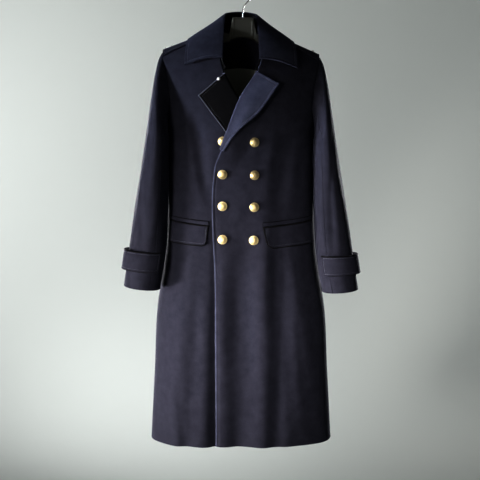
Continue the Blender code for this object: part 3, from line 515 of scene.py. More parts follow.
def speckle(material, scale, detail=2.0, roughness=0.5):
    """Noise on the piece's own coordinates: a factor from 0 to 1, finer with scale and busier with detail."""
    nodes = material.node_tree.nodes
    place = nodes.new("ShaderNodeTexCoord")
    noise = nodes.new("ShaderNodeTexNoise")
    noise.inputs["Scale"].default_value = scale
    noise.inputs["Detail"].default_value = detail
    noise.inputs["Roughness"].default_value = roughness
    material.node_tree.links.new(place.outputs["Object"], noise.inputs["Vector"])
    return noise.outputs["Fac"]


def tint(material, factor, dark, light, ends=(0.0, 1.0)):
    """Base colour that runs evenly from dark to light as the factor runs between the ends."""
    nodes = material.node_tree.nodes
    tone = nodes.new("ShaderNodeValToRGB")
    for stop, end, colour in zip(tone.color_ramp.elements, ends, (dark, light)):
        stop.position = end
        stop.color = (*colour, 1.0)
    material.node_tree.links.new(factor, tone.inputs["Fac"])
    material.node_tree.links.new(tone.outputs["Color"], nodes["Principled BSDF"].inputs["Base Color"])


def roughen(material, factor, smooth, rough):
    """Roughness that runs evenly from smooth to rough with the factor."""
    nodes = material.node_tree.nodes
    spread = nodes.new("ShaderNodeMapRange")
    spread.inputs["To Min"].default_value = smooth
    spread.inputs["To Max"].default_value = rough
    material.node_tree.links.new(factor, spread.inputs["Value"])
    material.node_tree.links.new(spread.outputs["Result"], nodes["Principled BSDF"].inputs["Roughness"])


def emboss(material, height, strength, distance):
    """Relief too fine for the mesh: a bump of so much distance at full height."""
    nodes = material.node_tree.nodes
    bump = nodes.new("ShaderNodeBump")
    bump.inputs["Strength"].default_value = strength
    bump.inputs["Distance"].default_value = distance
    material.node_tree.links.new(height, bump.inputs["Height"])
    material.node_tree.links.new(bump.outputs["Normal"], nodes["Principled BSDF"].inputs["Normal"])


def wool_material(name, deep, light, bloom):
    """Felted navy wool: a mottled brushed nap, fine fibre bump and a soft bluish bloom at grazing angles."""
    material = new_finish(name, {
        "Roughness": 0.92,
        "Specular IOR Level": 0.05,
        "Sheen Weight": bloom,
        "Sheen Roughness": 0.45,
        "Sheen Tint": (0.42, 0.45, 0.68, 1.0),
    })
    tone_choice = speckle(material, 46.0, 5.0, 0.62)
    fibre = speckle(material, 620.0, 3.0, 0.7)
    mix = material.node_tree.nodes.new("ShaderNodeMix")
    mix.inputs["Factor"].default_value = 0.45
    material.node_tree.links.new(tone_choice, mix.inputs["A"])
    material.node_tree.links.new(fibre, mix.inputs["B"])
    tint(material, mix.outputs["Result"], deep, light, (0.34, 0.68))
    emboss(material, fibre, 0.35, 0.0007)
    return material


# One cloth in five copies: plain; lighter as painted light on the collar, and more so on the lit lapel and
# front edge; nearly black as painted shade; and a pale painted highlight along a lit edge.
wool = wool_material("navy_wool_coating", (0.0071, 0.0071, 0.0113), (0.0157, 0.0157, 0.0230), 0.04)
collar_painted_light_wool = wool_material("navy_wool_collar_painted_light", (0.0096, 0.0099, 0.0162), (0.0211, 0.0219, 0.0330), 0.06)
painted_light_wool = wool_material("navy_wool_painted_light", (0.0150, 0.0159, 0.0260), (0.0331, 0.0352, 0.0540), 0.20)
painted_shade_wool = wool_material("navy_wool_painted_shade", (0.0018, 0.0018, 0.0021), (0.0038, 0.0037, 0.0042), 0.02)
painted_highlight_wool = wool_material("navy_wool_painted_edge_highlight", (0.030, 0.030, 0.036), (0.055, 0.055, 0.064), 0.30)

SKIRT_LENGTH = ARMPIT_Z - HEM_Z
ROW_STEP = 0.0055
YOKE_ROWS = 57
BELOW_SEAM = (3e-4, 1.2e-4, 5e-5, 1.5e-5, 3e-6)
FRONT_WIDTH = 0.34
BACK_WIDTH = 0.56
FRONT_STITCH = 0.0085
FRONT_PRESS = 1.6
FRONT_EDGE_ROLL = 0.0042
FRONT_EDGE_HIGHLIGHT_WIDTH = 0.0026
LAPEL_BREAK_FADE = (0.867, 0.897)
skirt_levels = graded(SKIRT_LENGTH, ROW_STEP)
skirt_levels = skirt_levels[skirt_levels < 1 - ROW_STEP / SKIRT_LENGTH / 2]
yoke_turn = np.linspace(math.pi, 0.0, YOKE_ROWS)
yoke_levels = 1 + (1 + np.cos(yoke_turn[:-1])) / 2
levels = np.unique(np.concatenate([skirt_levels, yoke_levels, 2 - np.array(BELOW_SEAM), [2.0]]))
over_angle = edge_angle(OVER_EDGE, levels)
under_angle = edge_angle(UNDER_EDGE, levels)
side_angle = armhole_size("angle", levels)

front_steps = graded(FRONT_WIDTH, ROW_STEP)
back_steps = graded(BACK_WIDTH, ROW_STEP)

left_angles = over_angle[:, None] + (side_angle - over_angle)[:, None] * front_steps
right_angles = -side_angle[:, None] + (under_angle + side_angle)[:, None] * front_steps
front_edges = {}
panels = {}
for name, angles, edge_column in (("front_left", left_angles, 0), ("front_right", right_angles, -1)):
    outer, normals = panel(name, levels[:, None], angles)
    outer[..., 1] -= SEAM_GAP / 2
    front_edges[name] = np.concatenate([outer[:, edge_column], normals[:, edge_column]], axis=1)
    panels[name] = (outer, normals)

outer, normals = panels["front_left"]
below_lapel = 1 - ease(*LAPEL_BREAK_FADE, levels)[:, None]
outer = stitched(outer, normals, ("left",), FRONT_STITCH, FRONT_PRESS * below_lapel)
front_left = cloth_wall("front_left_cloth", outer, normals, wool, rolls={"left": FRONT_EDGE_ROLL})
# Painted highlight: a pale strip along the front edge and on the panel's turned edges, where the edge catches
# the light.
paint_edge_light_shade(front_left, outer, ("left",), FRONT_EDGE_HIGHLIGHT_WIDTH, painted_light_wool)
dress(front_left, "front_left")
outer, normals = panels["front_right"]
front_right = cloth_wall("front_right_cloth", outer, normals, wool)
dress(front_right, "front_right")

back_angles = side_angle[:, None] * (2 * back_steps - 1)
back_outer, back_normals = panel("back", levels[:, None], back_angles)
back_outer[..., 1] += SEAM_GAP / 2
back_cloth = cloth_wall("back_cloth", back_outer, back_normals, wool)
dress(back_cloth, "back")


def front_edge(name, z):
    """Points and normals on a front panel's edge at the given heights."""
    line = front_edges[name]
    found = between(z, line[:, 2], line)
    return found[..., :3], unit(found[..., 3:])


# Sleeves. Each is cut from the same wool in two pieces, a wide top and a narrower under piece, sewn together
# down the front and hind seams and set into the armhole. They hang free, slightly bent forward, with soft
# creases at the elbow.
SleeveStation = namedtuple("SleeveStation", "outer_x outer_z inner_x inner_z half_depth centre_y")
SLEEVE_STATIONS = (
    SleeveStation(0.2133, -0.1756, 0.1980, -0.385, 0.050, -0.004),
    SleeveStation(0.2225, -0.198, 0.1978, -0.389, 0.058, -0.008),
    SleeveStation(0.2310, -0.240, 0.1972, -0.396, 0.064, -0.018),
    SleeveStation(0.2410, -0.305, 0.1980, -0.410, 0.069, -0.027),
    SleeveStation(0.2525, -0.385, 0.1972, -0.437, 0.072, -0.032),
    SleeveStation(0.2675, -0.478, 0.1972, -0.505, 0.070, -0.036),
    SleeveStation(0.2835, -0.575, 0.1975, -0.588, 0.065, -0.042),
    SleeveStation(0.2975, -0.672, 0.2005, -0.678, 0.059, -0.049),
    SleeveStation(0.3065, -0.735, 0.2075, -0.741, 0.056, -0.056),
    SleeveStation(0.3155, -0.796, 0.2185, -0.806, 0.053, -0.061),
)
ARMHOLE_BLEND = 3.0
SLEEVE_LENGTH = 0.63
SLEEVE_STEP = 0.0048
CREASES_BEGIN = (0.3, 1.6)
CREASES_END = (8.3, 8.9)

# Creases on a sleeve: their middle as station and turn, how the turn drifts with each station, the reach
# along (in stations) and across (in degrees), and how far the cloth swells out (or in).
SleeveCrease = namedtuple("SleeveCrease", "station turn drift along across swell")
SLEEVE_CREASES = {
    "left": (
        SleeveCrease(6.3, 96, 3, 1.2, 13, -0.0045),
        SleeveCrease(3.4, 180, 0, 2.6, 34, 0.0040),
        SleeveCrease(6.0, 126, 2, 1.5, 12, 0.0026),
        SleeveCrease(4.6, 70, 22, 0.9, 12, -0.0024),
        SleeveCrease(3.2, 118, 16, 0.8, 15, -0.0035),
        SleeveCrease(5.2, 30, -12, 0.9, 14, -0.0020),
        SleeveCrease(5.0, -120, 20, 0.9, 16, -0.0040),
        SleeveCrease(5.7, -95, 26, 0.7, 12, -0.0030),
        SleeveCrease(4.2, -60, -24, 0.8, 16, 0.0024),
        SleeveCrease(7.0, -40, 10, 0.7, 14, -0.0018),
    ),
    "right": (
        SleeveCrease(4.0, 112, -2, 3.0, 30, 0.0060),
        SleeveCrease(4.6, 74, 5, 1.4, 14, -0.0022),
        SleeveCrease(3.4, 180, 0, 2.6, 34, 0.0045),
        SleeveCrease(6.7, 70, 14, 0.8, 14, -0.0036),
        SleeveCrease(6.2, 112, -8, 0.9, 11, 0.0022),
        SleeveCrease(2.8, 122, 18, 0.8, 14, -0.0032),
        SleeveCrease(5.6, 18, 16, 0.9, 12, -0.0022),
        SleeveCrease(5.2, -112, -18, 1.0, 15, -0.0038),
        SleeveCrease(6.0, -85, 24, 0.7, 12, -0.0026),
        SleeveCrease(3.8, -50, 20, 0.9, 16, 0.0022),
    ),
}


def sleeve_point(station, turn):
    """Outer face of the left sleeve: turn 0 on its outer line, 90 in front, 180 on its inner line."""
    station, turn = np.broadcast_arrays(np.asarray(station, float), np.asarray(turn, float))
    row = SleeveStation(*np.moveaxis(through(range(len(SLEEVE_STATIONS)), SLEEVE_STATIONS, station), -1, 0))
    cosine = np.cos(turn)
    x = (row.outer_x + row.inner_x) / 2 + (row.outer_x - row.inner_x) / 2 * cosine
    z = (row.outer_z + row.inner_z) / 2 + (row.outer_z - row.inner_z) / 2 * cosine
    y = row.centre_y - row.half_depth * np.sin(turn)
    return np.stack([x, y, z], axis=-1)


def armhole_loop(turn):
    """Armhole edge at each turn: front panel for turns from 0 to 180, back panel for the rest."""
    loop_levels = 1 + (1 + np.cos(turn)) / 2
    front_loop, _ = panel("front_left", loop_levels, armhole_size("angle", loop_levels))
    back_loop, _ = panel("back", loop_levels, armhole_size("angle", loop_levels))
    loop = np.where((np.sin(turn) >= 0)[..., None], front_loop, back_loop)
    loop[..., 0] += SEAM_GAP
    return loop


def sleeve_middle(station):
    """Middle line of the sleeve, halfway between its outer and inner lines."""
    return (sleeve_point(station, 0.0) + sleeve_point(station, math.pi)) / 2


def sleeve_face(station, turn):
    """Sleeve face that starts on the armhole and blends into the hanging form within the first stations."""
    face = sleeve_point(station, turn)
    blend = np.clip(1 - station / ARMHOLE_BLEND, 0.0, 1.0) ** 2
    return face + blend[..., None] * (armhole_loop(turn) - sleeve_point(np.zeros_like(station), turn))


def sleeve_swell(side, station, turn):
    """Creases of one sleeve: a slanting bell for each row of its table."""
    degrees = np.degrees((turn + math.pi) % (2 * math.pi) - math.pi)
    total = np.zeros_like(station)
    for crease in SLEEVE_CREASES[side]:
        along = (station - crease.station) / crease.along
        apart = degrees - crease.turn - crease.drift * (station - crease.station)
        across = ((apart + 180) % 360 - 180) / crease.across
        total = total + crease.swell * np.exp(-along ** 2 - across ** 2)
    return total


def grid_normals(points, inside):
    """Normals of a grid from its own steps, turned away from the inside points."""
    normals = unit(np.cross(np.gradient(points, axis=0), np.gradient(points, axis=1)))
    outward = np.sum(normals * (points - inside), axis=-1)
    return normals if np.sum(outward) > 0 else -normals


FLIPS = {"left": np.ones(3), "right": np.array([-1.0, 1.0, 1.0])}
SLEEVE_SEAM = math.radians(120)
SleevePiece = namedtuple("SleevePiece", "name first_turn last_turn width cut area")
SLEEVE_PIECES = (
    SleevePiece("sleeve_top", -SLEEVE_SEAM, SLEEVE_SEAM, 0.23, (0.35, 0.64), 0.122),
    SleevePiece("sleeve_under", SLEEVE_SEAM, 2 * math.pi - SLEEVE_SEAM, 0.12, (0.15, 0.50), 0.055),
)
sleeve_rows = (len(SLEEVE_STATIONS) - 1) * graded(SLEEVE_LENGTH, SLEEVE_STEP)
for part in SLEEVE_PIECES:
    turns = part.first_turn + (part.last_turn - part.first_turn) * graded(part.width, SLEEVE_STEP)
    station_grid, turn_grid = np.meshgrid(sleeve_rows, turns, indexing="ij")
    middle = sleeve_middle(station_grid)
    fade = ease(*CREASES_BEGIN, station_grid) * (1 - ease(*CREASES_END, station_grid))
    for side, flip in FLIPS.items():
        face = sleeve_face(station_grid, turn_grid)
        out = grid_normals(face, middle)
        face = face + out * (sleeve_swell(side, station_grid, turn_grid) * fade)[..., None]
        out = grid_normals(face, middle)
        node = "%s_%s" % (part.name, side)
        piece = cloth_wall(node + "_cloth", face * flip, out * flip, wool)
        dress(piece, node)


# Cuff straps. A turned and topstitched strap of the same wool round each sleeve, caught at both ends on the
# inner side and standing off the cloth at the outer side.
STRAP_STATIONS = (7.40, 8.28)
STRAP_TURNS = (math.radians(140), math.radians(-140))
STRAP_WIDTH = 0.052
STRAP_LENGTH = 0.29
STRAP_GAP = 0.0008
STRAP_STAND = 0.009
STRAP_STAND_POWER = 1.5
STRAP_STITCH = 0.0065
STRAP_STEP = 0.004
STRAP_SHADE_WIDTH = 0.0020
STITCH_PITCH = 0.0040
STITCH_HALF = 0.0015
STITCH_SINK = 0.0003
STITCH_SIDES = 6
THREAD_RADIUS = 0.0004
StitchRing = namedtuple("StitchRing", "along girth")
STITCH_RINGS = (
    StitchRing(-1.0, 0.3),
    StitchRing(-0.7, 1.0),
    StitchRing(0.7, 1.0),
    StitchRing(1.0, 0.3),
)


def run_along(line):
    """Distance along a line from its first point to each of its points."""
    return np.concatenate([[0.0], np.cumsum(np.linalg.norm(np.diff(line, axis=0), axis=-1))])


def inset_line(points, normals, border, inset):
    """Line on a grid at one distance from a border, and its normals, cut short by the inset at both ends."""
    reach = from_border(points, border)
    if border in ("left", "right"):
        points, normals, reach = points.swapaxes(0, 1), normals.swapaxes(0, 1), reach.T
    if border in ("high", "right"):
        points, normals, reach = points[::-1], normals[::-1], reach[::-1]
    low = np.clip((reach < inset).sum(axis=0) - 1, 0, len(reach) - 2)
    columns = np.arange(reach.shape[1])
    before = reach[low, columns]
    part = ((inset - before) / (reach[low + 1, columns] - before))[:, None]
    line = points[low, columns] * (1 - part) + points[low + 1, columns] * part
    out = unit(normals[low, columns] * (1 - part) + normals[low + 1, columns] * part)
    run = run_along(line)
    kept = (run > inset) & (run < run[-1] - inset)
    return line[kept], out[kept]


# Navy polyester sewing thread, a little smoother than the wool, with a fine uneven twist.
thread = new_finish("navy_thread", {"Roughness": 0.6, "Sheen Weight": 0.2})
tint(thread, speckle(thread, 1800.0), (0.010, 0.010, 0.018), (0.030, 0.030, 0.046))


def tube_faces(rows, sides):
    """Faces of a tube of rings, closed at each end by strips between facing points of the ring."""
    ring = np.arange(sides // 2 - 1)
    cap = np.stack([ring, ring + 1, sides - 2 - ring, sides - 1 - ring], axis=-1)
    return np.concatenate([grid_cells(rows, sides, closed=True), cap[:, ::-1], cap + (rows - 1) * sides])


def topstitch(name, lines):
    """Row of stitches along each line: short capsules of thread lying in the pressed dip, as one mesh."""
    along, girth = (np.array(column)[:, None] for column in zip(*STITCH_RINGS))
    turn = np.linspace(0.0, 2 * math.pi, STITCH_SIDES, endpoint=False)[:, None]
    places = []
    for line, out in lines:
        run = run_along(line)
        centres = np.arange(STITCH_PITCH / 2, run[-1], STITCH_PITCH)
        here = between(centres, run, np.concatenate([line, out], axis=1))
        next_place = between(np.minimum(centres + STITCH_HALF, run[-1]), run, line)
        places.append(np.concatenate([here, unit(next_place - here[:, :3])], axis=1))
    places = np.concatenate(places)
    centre, up, ahead = places[:, None, :3], unit(places[:, None, 3:6]), places[:, None, 6:]
    aside = unit(np.cross(up, ahead))
    ring = np.cos(turn) * aside[:, None] + np.sin(turn) * up[:, None]
    spine = centre + STITCH_HALF * along * ahead - STITCH_SINK * along ** 2 * up
    points = spine[:, :, None] + THREAD_RADIUS * girth[:, None] * ring
    one = tube_faces(len(along), STITCH_SIDES)
    quads = one + len(along) * STITCH_SIDES * np.arange(len(places))[:, None, None]
    piece = add_piece(name, settle(points), quads.reshape(-1, 4), thread)
    return piece


def edge_stitches(name, face, normals, borders, inset, flip=FLIPS["left"]):
    """Topstitching on a face at one inset from each of its borders, mirrored by the flip."""
    lines = [inset_line(face, normals, border, inset) for border in borders]
    return topstitch(name, [(line * flip, out * flip) for line, out in lines])


strap_rows = STRAP_STATIONS[0] + np.ptp(STRAP_STATIONS) * graded(STRAP_WIDTH, STRAP_STEP)
strap_turns = STRAP_TURNS[0] + (STRAP_TURNS[1] - STRAP_TURNS[0]) * graded(STRAP_LENGTH, STRAP_STEP)
station_grid, turn_grid = np.meshgrid(strap_rows, strap_turns, indexing="ij")
strap_base = sleeve_point(station_grid, turn_grid)
strap_out = grid_normals(strap_base, sleeve_middle(station_grid))
strap_stand = STRAP_STAND * np.clip(np.cos(turn_grid), 0.0, 1.0) ** STRAP_STAND_POWER
strap_lift = STRAP_GAP + CLOTH + strap_stand
strap_face = strap_base + strap_out * strap_lift[..., None]
strap_borders = ("low", "high", "left", "right")
strap_pressed = stitched(strap_face, strap_out, strap_borders, STRAP_STITCH)
for side, flip in FLIPS.items():
    strap = cloth_wall("cuff_strap_%s_cloth" % side, strap_pressed * flip, strap_out * flip, wool)
    # Painted shade: dark strips along the strap's upper and lower edges and on its turned edges, where shadow
    # falls.
    paint_edge_light_shade(strap, strap_pressed * flip, ("low", "high"), STRAP_SHADE_WIDTH, painted_shade_wool)
    dress(strap, "cuff_strap_%s" % side)
    name = "cuff_strap_%s_topstitch" % side
    stitches = edge_stitches(name, strap_pressed, strap_out, strap_borders, STRAP_STITCH, flip)


# Epaulettes. Straps of the same wool along the shoulder seam, from under the collar to the sleeve head. They
# are crowned along the middle, topstitched round the free edges and pinned down by small studs.
EPAULETTE_INNER_X = 0.098
EPAULETTE_OUTER_X = 0.208
EPAULETTE_HALF = 0.023
EPAULETTE_GAP = 0.0011
EPAULETTE_STITCH = 0.006
EPAULETTE_CROWN = 0.0035
EPAULETTE_CROWN_RUN = 0.05
EPAULETTE_STEP = 0.003
INSIDE_SHOULDER = np.array([0.1, SHOULDER_Y, -0.4])
STRIP_LOWEST_LEVEL = 1.3
HALVINGS = 40


def level_at_depth(x, depth, back):
    """Level at which the body's face lies this far from the shoulder seam in depth, found by halving."""
    low = np.full(np.shape(x), STRIP_LOWEST_LEVEL)
    high = np.full(np.shape(x), 2.0)
    for _ in range(HALVINGS):
        middle = (low + high) / 2
        reach = np.abs(body_point(middle, angle_at(x, middle), back)[..., 1] - SHOULDER_Y)
        low = np.where(reach > depth, middle, low)
        high = np.where(reach > depth, high, middle)
    return high


def shoulder_strip(xs, depths):
    """Points over the shoulder: negative depths on the front panel, positive on the back."""
    xs, depths = np.broadcast_arrays(xs, depths)
    points = np.zeros(xs.shape + (3,))
    for back, chosen in ((False, depths <= 0), (True, depths > 0)):
        level = level_at_depth(xs[chosen], np.abs(depths[chosen]), back)
        points[chosen] = body_point(level, angle_at(xs[chosen], level), back)
    return points


epaulette_width = EPAULETTE_OUTER_X - EPAULETTE_INNER_X
epaulette_x = EPAULETTE_INNER_X + epaulette_width * graded(epaulette_width, EPAULETTE_STEP)
epaulette_depth = EPAULETTE_HALF * (2 * graded(2 * EPAULETTE_HALF, EPAULETTE_STEP) - 1)[:, None]
epaulette_base = shoulder_strip(epaulette_x, epaulette_depth)
epaulette_out = grid_normals(epaulette_base, INSIDE_SHOULDER)
crown_starts = ease(EPAULETTE_INNER_X, EPAULETTE_INNER_X + EPAULETTE_CROWN_RUN, epaulette_x)
epaulette_crown = EPAULETTE_CROWN * (1 - (epaulette_depth / EPAULETTE_HALF) ** 2) * crown_starts
epaulette_face = epaulette_base + (EPAULETTE_GAP + CLOTH + epaulette_crown)[..., None] * epaulette_out
epaulette_borders = ("low", "high", "right")
epaulette_pressed = stitched(epaulette_face, epaulette_out, epaulette_borders, EPAULETTE_STITCH)
for side, flip in FLIPS.items():
    strap = cloth_wall("epaulette_%s_cloth" % side, epaulette_pressed * flip, epaulette_out * flip, wool)
    dress(strap, "epaulette_%s" % side)
    name = "epaulette_%s_topstitch" % side
    stitches = edge_stitches(name, epaulette_pressed, epaulette_out, epaulette_borders, EPAULETTE_STITCH, flip)


# Lapels. The upper part of each front, turned back over a soft roll line, faced with the same wool and
# topstitched along its free edges. The left one lies on top.
LapelRow = namedtuple("LapelRow", "roll_z outer_x outer_z stand")
LEFT_LAPEL = (
    LapelRow(-0.224, 0.097, -0.259, 0.018),
    LapelRow(-0.278, 0.0436, -0.334, 0.016),
    LapelRow(-0.330, 0.000, -0.3745, 0.010),
    LapelRow(-0.381, -0.0235, -0.401, 0.004),
    LapelRow(-0.430, -0.0435, -0.4345, 0.0),
)
RIGHT_LAPEL = (
    LapelRow(-0.232, -0.109, -0.292, 0.009),
    LapelRow(-0.268, -0.078, -0.333, 0.006),
    LapelRow(-0.302, -0.050, -0.3705, 0.003),
    LapelRow(-0.332, -0.026, -0.402, 0.001),
)
LAPEL_GAP = 0.0008
EDGE_GAP = 0.0012
LAPEL_STITCH = 0.0075
LAPEL_ROLL_STEPS = 7
LAPEL_STEP = 0.003
LAPEL_WIDTH = 0.09
LAPEL_FIRST = 0.05
LAPEL_SECOND = 0.1
LAPEL_STAND_POWER = 1.5
LAPEL_TUCK = 0.8
LAPEL_EDGE_ROLL = 0.0022
LAPEL_EDGE_HIGHLIGHT_WIDTH = 0.0024
BEHIND_LAPELS = np.array([0.0, 0.3, -0.33])
Lapel = namedtuple("Lapel", "side front rows length cut area facing")
# The left lapel is faced with a lighter copy of the wool, painted light where the light falls on it; the right
# one with a nearly black copy, painted shade.
LAPELS = (
    Lapel("left", "front_left", LEFT_LAPEL, 0.24, (0.080, 0.232), 0.0118, painted_light_wool),
    Lapel("right", "front_right", RIGHT_LAPEL, 0.15, (0.100, 0.145), 0.0110, painted_shade_wool),
)


def bent_line(part, start, corner, end):
    """Curve from start to end that sets out and arrives in line with the corner, as a parabola does."""
    return (1 - part) ** 2 * start + 2 * part * (1 - part) * corner + part ** 2 * end


def lapel_face(panel_name, rows, along, across):
    """Outer face of a lapel: a bent roll round the panel's edge, then ruled lines out to the free edge."""
    place = along * (len(rows) - 1)
    row = LapelRow(*np.moveaxis(through(range(len(rows)), rows, place), -1, 0))
    roll, roll_out = front_edge(panel_name, row.roll_z)
    x = roll[:, :1] + (row.outer_x - roll[:, 0])[:, None] * across
    z = row.roll_z[:, None] + (row.outer_z - row.roll_z)[:, None] * across
    face, out = panel(panel_name, *locate(x, z))
    stand = LAPEL_GAP + CLOTH + row.stand[:, None] * across ** LAPEL_STAND_POWER
    face = face + out * stand[..., None]
    away = unit(np.cross(np.gradient(roll, axis=0), roll_out))
    away = away * -np.sign(np.sum(away * (face[:, -1] - roll), axis=-1, keepdims=True))
    clear = roll + (EDGE_GAP + CLOTH) * away
    start = clear - LAPEL_TUCK * CLOTH * roll_out
    corner = clear + (LAPEL_GAP + CLOTH) * roll_out
    bend = np.linspace(0.0, 1.0, LAPEL_ROLL_STEPS, endpoint=False)[:, None]
    turned = bent_line(bend, start[:, None], corner[:, None], face[:, :1])
    return np.concatenate([turned, face], axis=1)


lapel_borders = ("low", "right")
lapel_rolls = {border: LAPEL_EDGE_ROLL for border in lapel_borders}
lapel_across = LAPEL_FIRST + (1 - LAPEL_FIRST) * graded(LAPEL_WIDTH, LAPEL_STEP)
lapel_across = np.concatenate([[LAPEL_FIRST], lapel_across[lapel_across > LAPEL_SECOND]])
lapel_faces = {}
for row in LAPELS:
    face = lapel_face(row.front, row.rows, graded(row.length, LAPEL_STEP), lapel_across)
    out = grid_normals(face, BEHIND_LAPELS)
    pressed = stitched(face, out, lapel_borders, LAPEL_STITCH)
    lapel = cloth_wall("lapel_%s_cloth" % row.side, pressed, out, row.facing, rolls=lapel_rolls)
    # The right lapel gets a pale painted highlight along its free edges and on its turned edges, where they
    # catch the light.
    if row.side == "right":
        paint_edge_light_shade(lapel, pressed, lapel_borders, LAPEL_EDGE_HIGHLIGHT_WIDTH, painted_highlight_wool)
    dress(lapel, "lapel_%s" % row.side)
    stitches = edge_stitches("lapel_%s_topstitch" % row.side, pressed, out, lapel_borders, LAPEL_STITCH)
    lapel_faces[row.side] = (pressed, out)


# Collar. An upright stand sewn to the neck, and a wide leaf that folds over it and lies on the shoulders,
# with two square points in front. Both are wool, and the leaf is topstitched round its edge.
CollarStation = namedtuple("CollarStation", "fold_x fold_y fold_z edge_x edge_y edge_z")
COLLAR_STATIONS = (
    CollarStation(0.0400, -0.0830, -0.2160, 0.150, -0.078, -0.238),
    CollarStation(0.0500, -0.0750, -0.1930, 0.148, -0.067, -0.214),
    CollarStation(0.0495, -0.0500, -0.1550, 0.147, -0.050, -0.179),
    CollarStation(0.0480, -0.0220, -0.1170, 0.1435, -0.022, -0.1500),
    CollarStation(0.0465, 0.0040, -0.0890, 0.139, 0.006, -0.1380),
    CollarStation(0.0435, 0.0300, -0.0680, 0.122, 0.034, -0.1480),
    CollarStation(0.0310, 0.0470, -0.0600, 0.088, 0.055, -0.1590),
    CollarStation(0.0000, 0.0535, -0.0565, 0.000, 0.083, -0.1630),
    CollarStation(-0.0310, 0.0470, -0.0600, -0.088, 0.055, -0.1590),
)
GORGE_LEVEL = 1.587
SHOULDER_STATION = 4
BACK_STATION = 7
HALF_COLLAR = 0.24
COLLAR_STEP = 0.004
STAND_HEIGHT = 0.05
STAND_STEP = 0.005
LEAF_WIDTH = 0.11
LEAF_ROLL = 0.0024
WRAP_STEPS = 5
COLLAR_BULGE = 0.011
BULGE_PLACE = 0.42
BULGE_OUT = 0.4
FOLD_GAP = 0.0006
COLLAR_STITCH = 0.008
NECK_DEPTHS = (-0.09, 0.02)
INSIDE_STAND = np.array([0.0, -0.02, -0.13])
BELOW_LEAF = np.array([0.0, 0.0, -0.25])
UP = np.array([0.0, 0.0, 1.0])


def neck_seam(station, side):
    """Neck seam of one half: up the front panel's edge, then round the back panel's neck."""
    line = front_edges["front_left" if side > 0 else "front_right"][:, :3]
    front_level = GORGE_LEVEL + (2 - GORGE_LEVEL) * np.clip(station / SHOULDER_STATION, 0.0, 1.0)
    front = between(front_level, levels, line)
    around = np.clip((BACK_STATION - station) / (BACK_STATION - SHOULDER_STATION), 0.0, 1.0)
    back = body_point(2.0, side * angle_at(NECK_HALF, 2.0) * around, True)
    return np.where((station < SHOULDER_STATION)[:, None], front, back)


def collar_half(stations, side):
    """Neck seam, fold and outer edge of one half."""
    row = through(range(len(COLLAR_STATIONS)), COLLAR_STATIONS, stations)
    flip = np.array([side, 1.0, 1.0])
    return neck_seam(stations, side), row[:, :3] * flip, row[:, 3:] * flip


def collar_lines(stations):
    """Neck seam, fold and outer edge from the right front round the back to the left front."""
    right = collar_half(stations, -1)
    left = collar_half(stations[:-1][::-1], 1)
    return [np.concatenate([first, second]) for first, second in zip(right, left)]


def towards_neck(points):
    """Level unit vectors from the points towards the neck's middle line."""
    middle = np.stack([np.zeros(len(points)), np.clip(points[:, 1], *NECK_DEPTHS), points[:, 2]], axis=-1)
    return unit(middle - points)


half_run = graded(2 * HALF_COLLAR, COLLAR_STEP)
half_run = 2 * half_run[half_run <= 0.5 + 1e-9]
seam, fold, _ = collar_lines(BACK_STATION * half_run)
stand_low = seam + EDGE_GAP * towards_neck(seam)
stand_low = stand_low + CLOTH * towards_neck(stand_low)
stand_high = fold + CLOTH * towards_neck(fold)
stand_up = graded(STAND_HEIGHT, STAND_STEP)[:, None, None]
stand_inner = stand_low * (1 - stand_up) + stand_high * stand_up
stand_in = grid_normals(stand_inner, INSIDE_STAND)
# The stand is nearly black: painted shade on its inside face.
stand_cloth = cloth_wall("collar_stand_cloth", stand_inner, -stand_in, painted_shade_wool)
dress(stand_cloth, "collar_stand")

_, fold, edge = collar_lines(1 + (BACK_STATION - 1) * half_run)
inwards = towards_neck(fold)
start = fold - CLOTH / 2 * inwards + FOLD_GAP * UP
tucked = fold + CLOTH * inwards + FOLD_GAP * UP
bulge = (1 - BULGE_PLACE) * start + BULGE_PLACE * edge + COLLAR_BULGE * (UP - BULGE_OUT * inwards)
leaf_across = graded(LEAF_WIDTH, COLLAR_STEP)[:, None, None]
wrap = np.linspace(1.0, 0.0, WRAP_STEPS, endpoint=False)[:, None, None]
leaf_lower = np.concatenate([start + wrap * (tucked - start), bent_line(leaf_across, start, bulge, edge)])
leaf_out = grid_normals(leaf_lower, BELOW_LEAF)
leaf_face = leaf_lower + CLOTH * leaf_out
collar_borders = ("high", "left", "right")
leaf_pressed = stitched(leaf_face, leaf_out, collar_borders, COLLAR_STITCH)
leaf_rolls = {border: LEAF_ROLL for border in collar_borders}
# The leaf is a lighter copy of the wool: painted light where the light falls on the collar.
leaf_cloth = cloth_wall("collar_fall_cloth", leaf_pressed, leaf_out, collar_painted_light_wool, rolls=leaf_rolls)
dress(leaf_cloth, "collar_fall")
leaf_stitches = edge_stitches("collar_fall_topstitch", leaf_pressed, leaf_out, collar_borders, COLLAR_STITCH)


# Lining. Dark olive satin inside the back, seen in the opening of the neck below the wool at the neck's back.
# It is sewn in along its edges and hangs a little loose, with an ease pleat down its middle.
LINING_TOP_LEVEL = 1.637
LINING_LOW_LEVEL = 11 / 14
LINING_LENGTH = 0.36
LINING_WIDTH = 0.32
LINING_ROW_STEP = 0.005
LINING_COLUMN_STEP = 0.004
LINING_SIDE = 0.66
LINING_GAP = 0.0010
LINING_LOOSE = 0.0016
LINING = 0.0012
LINING_FOLDS = (
    Fold(0.004, -0.150, 0.002, -0.540, 0.0050, 0.0016),
    Fold(-0.006, -0.150, -0.008, -0.540, 0.0040, -0.0008),
    Fold(0.045, -0.180, 0.030, -0.420, 0.0120, 0.0010),
    Fold(-0.040, -0.190, -0.060, -0.460, 0.0140, 0.0012),
)


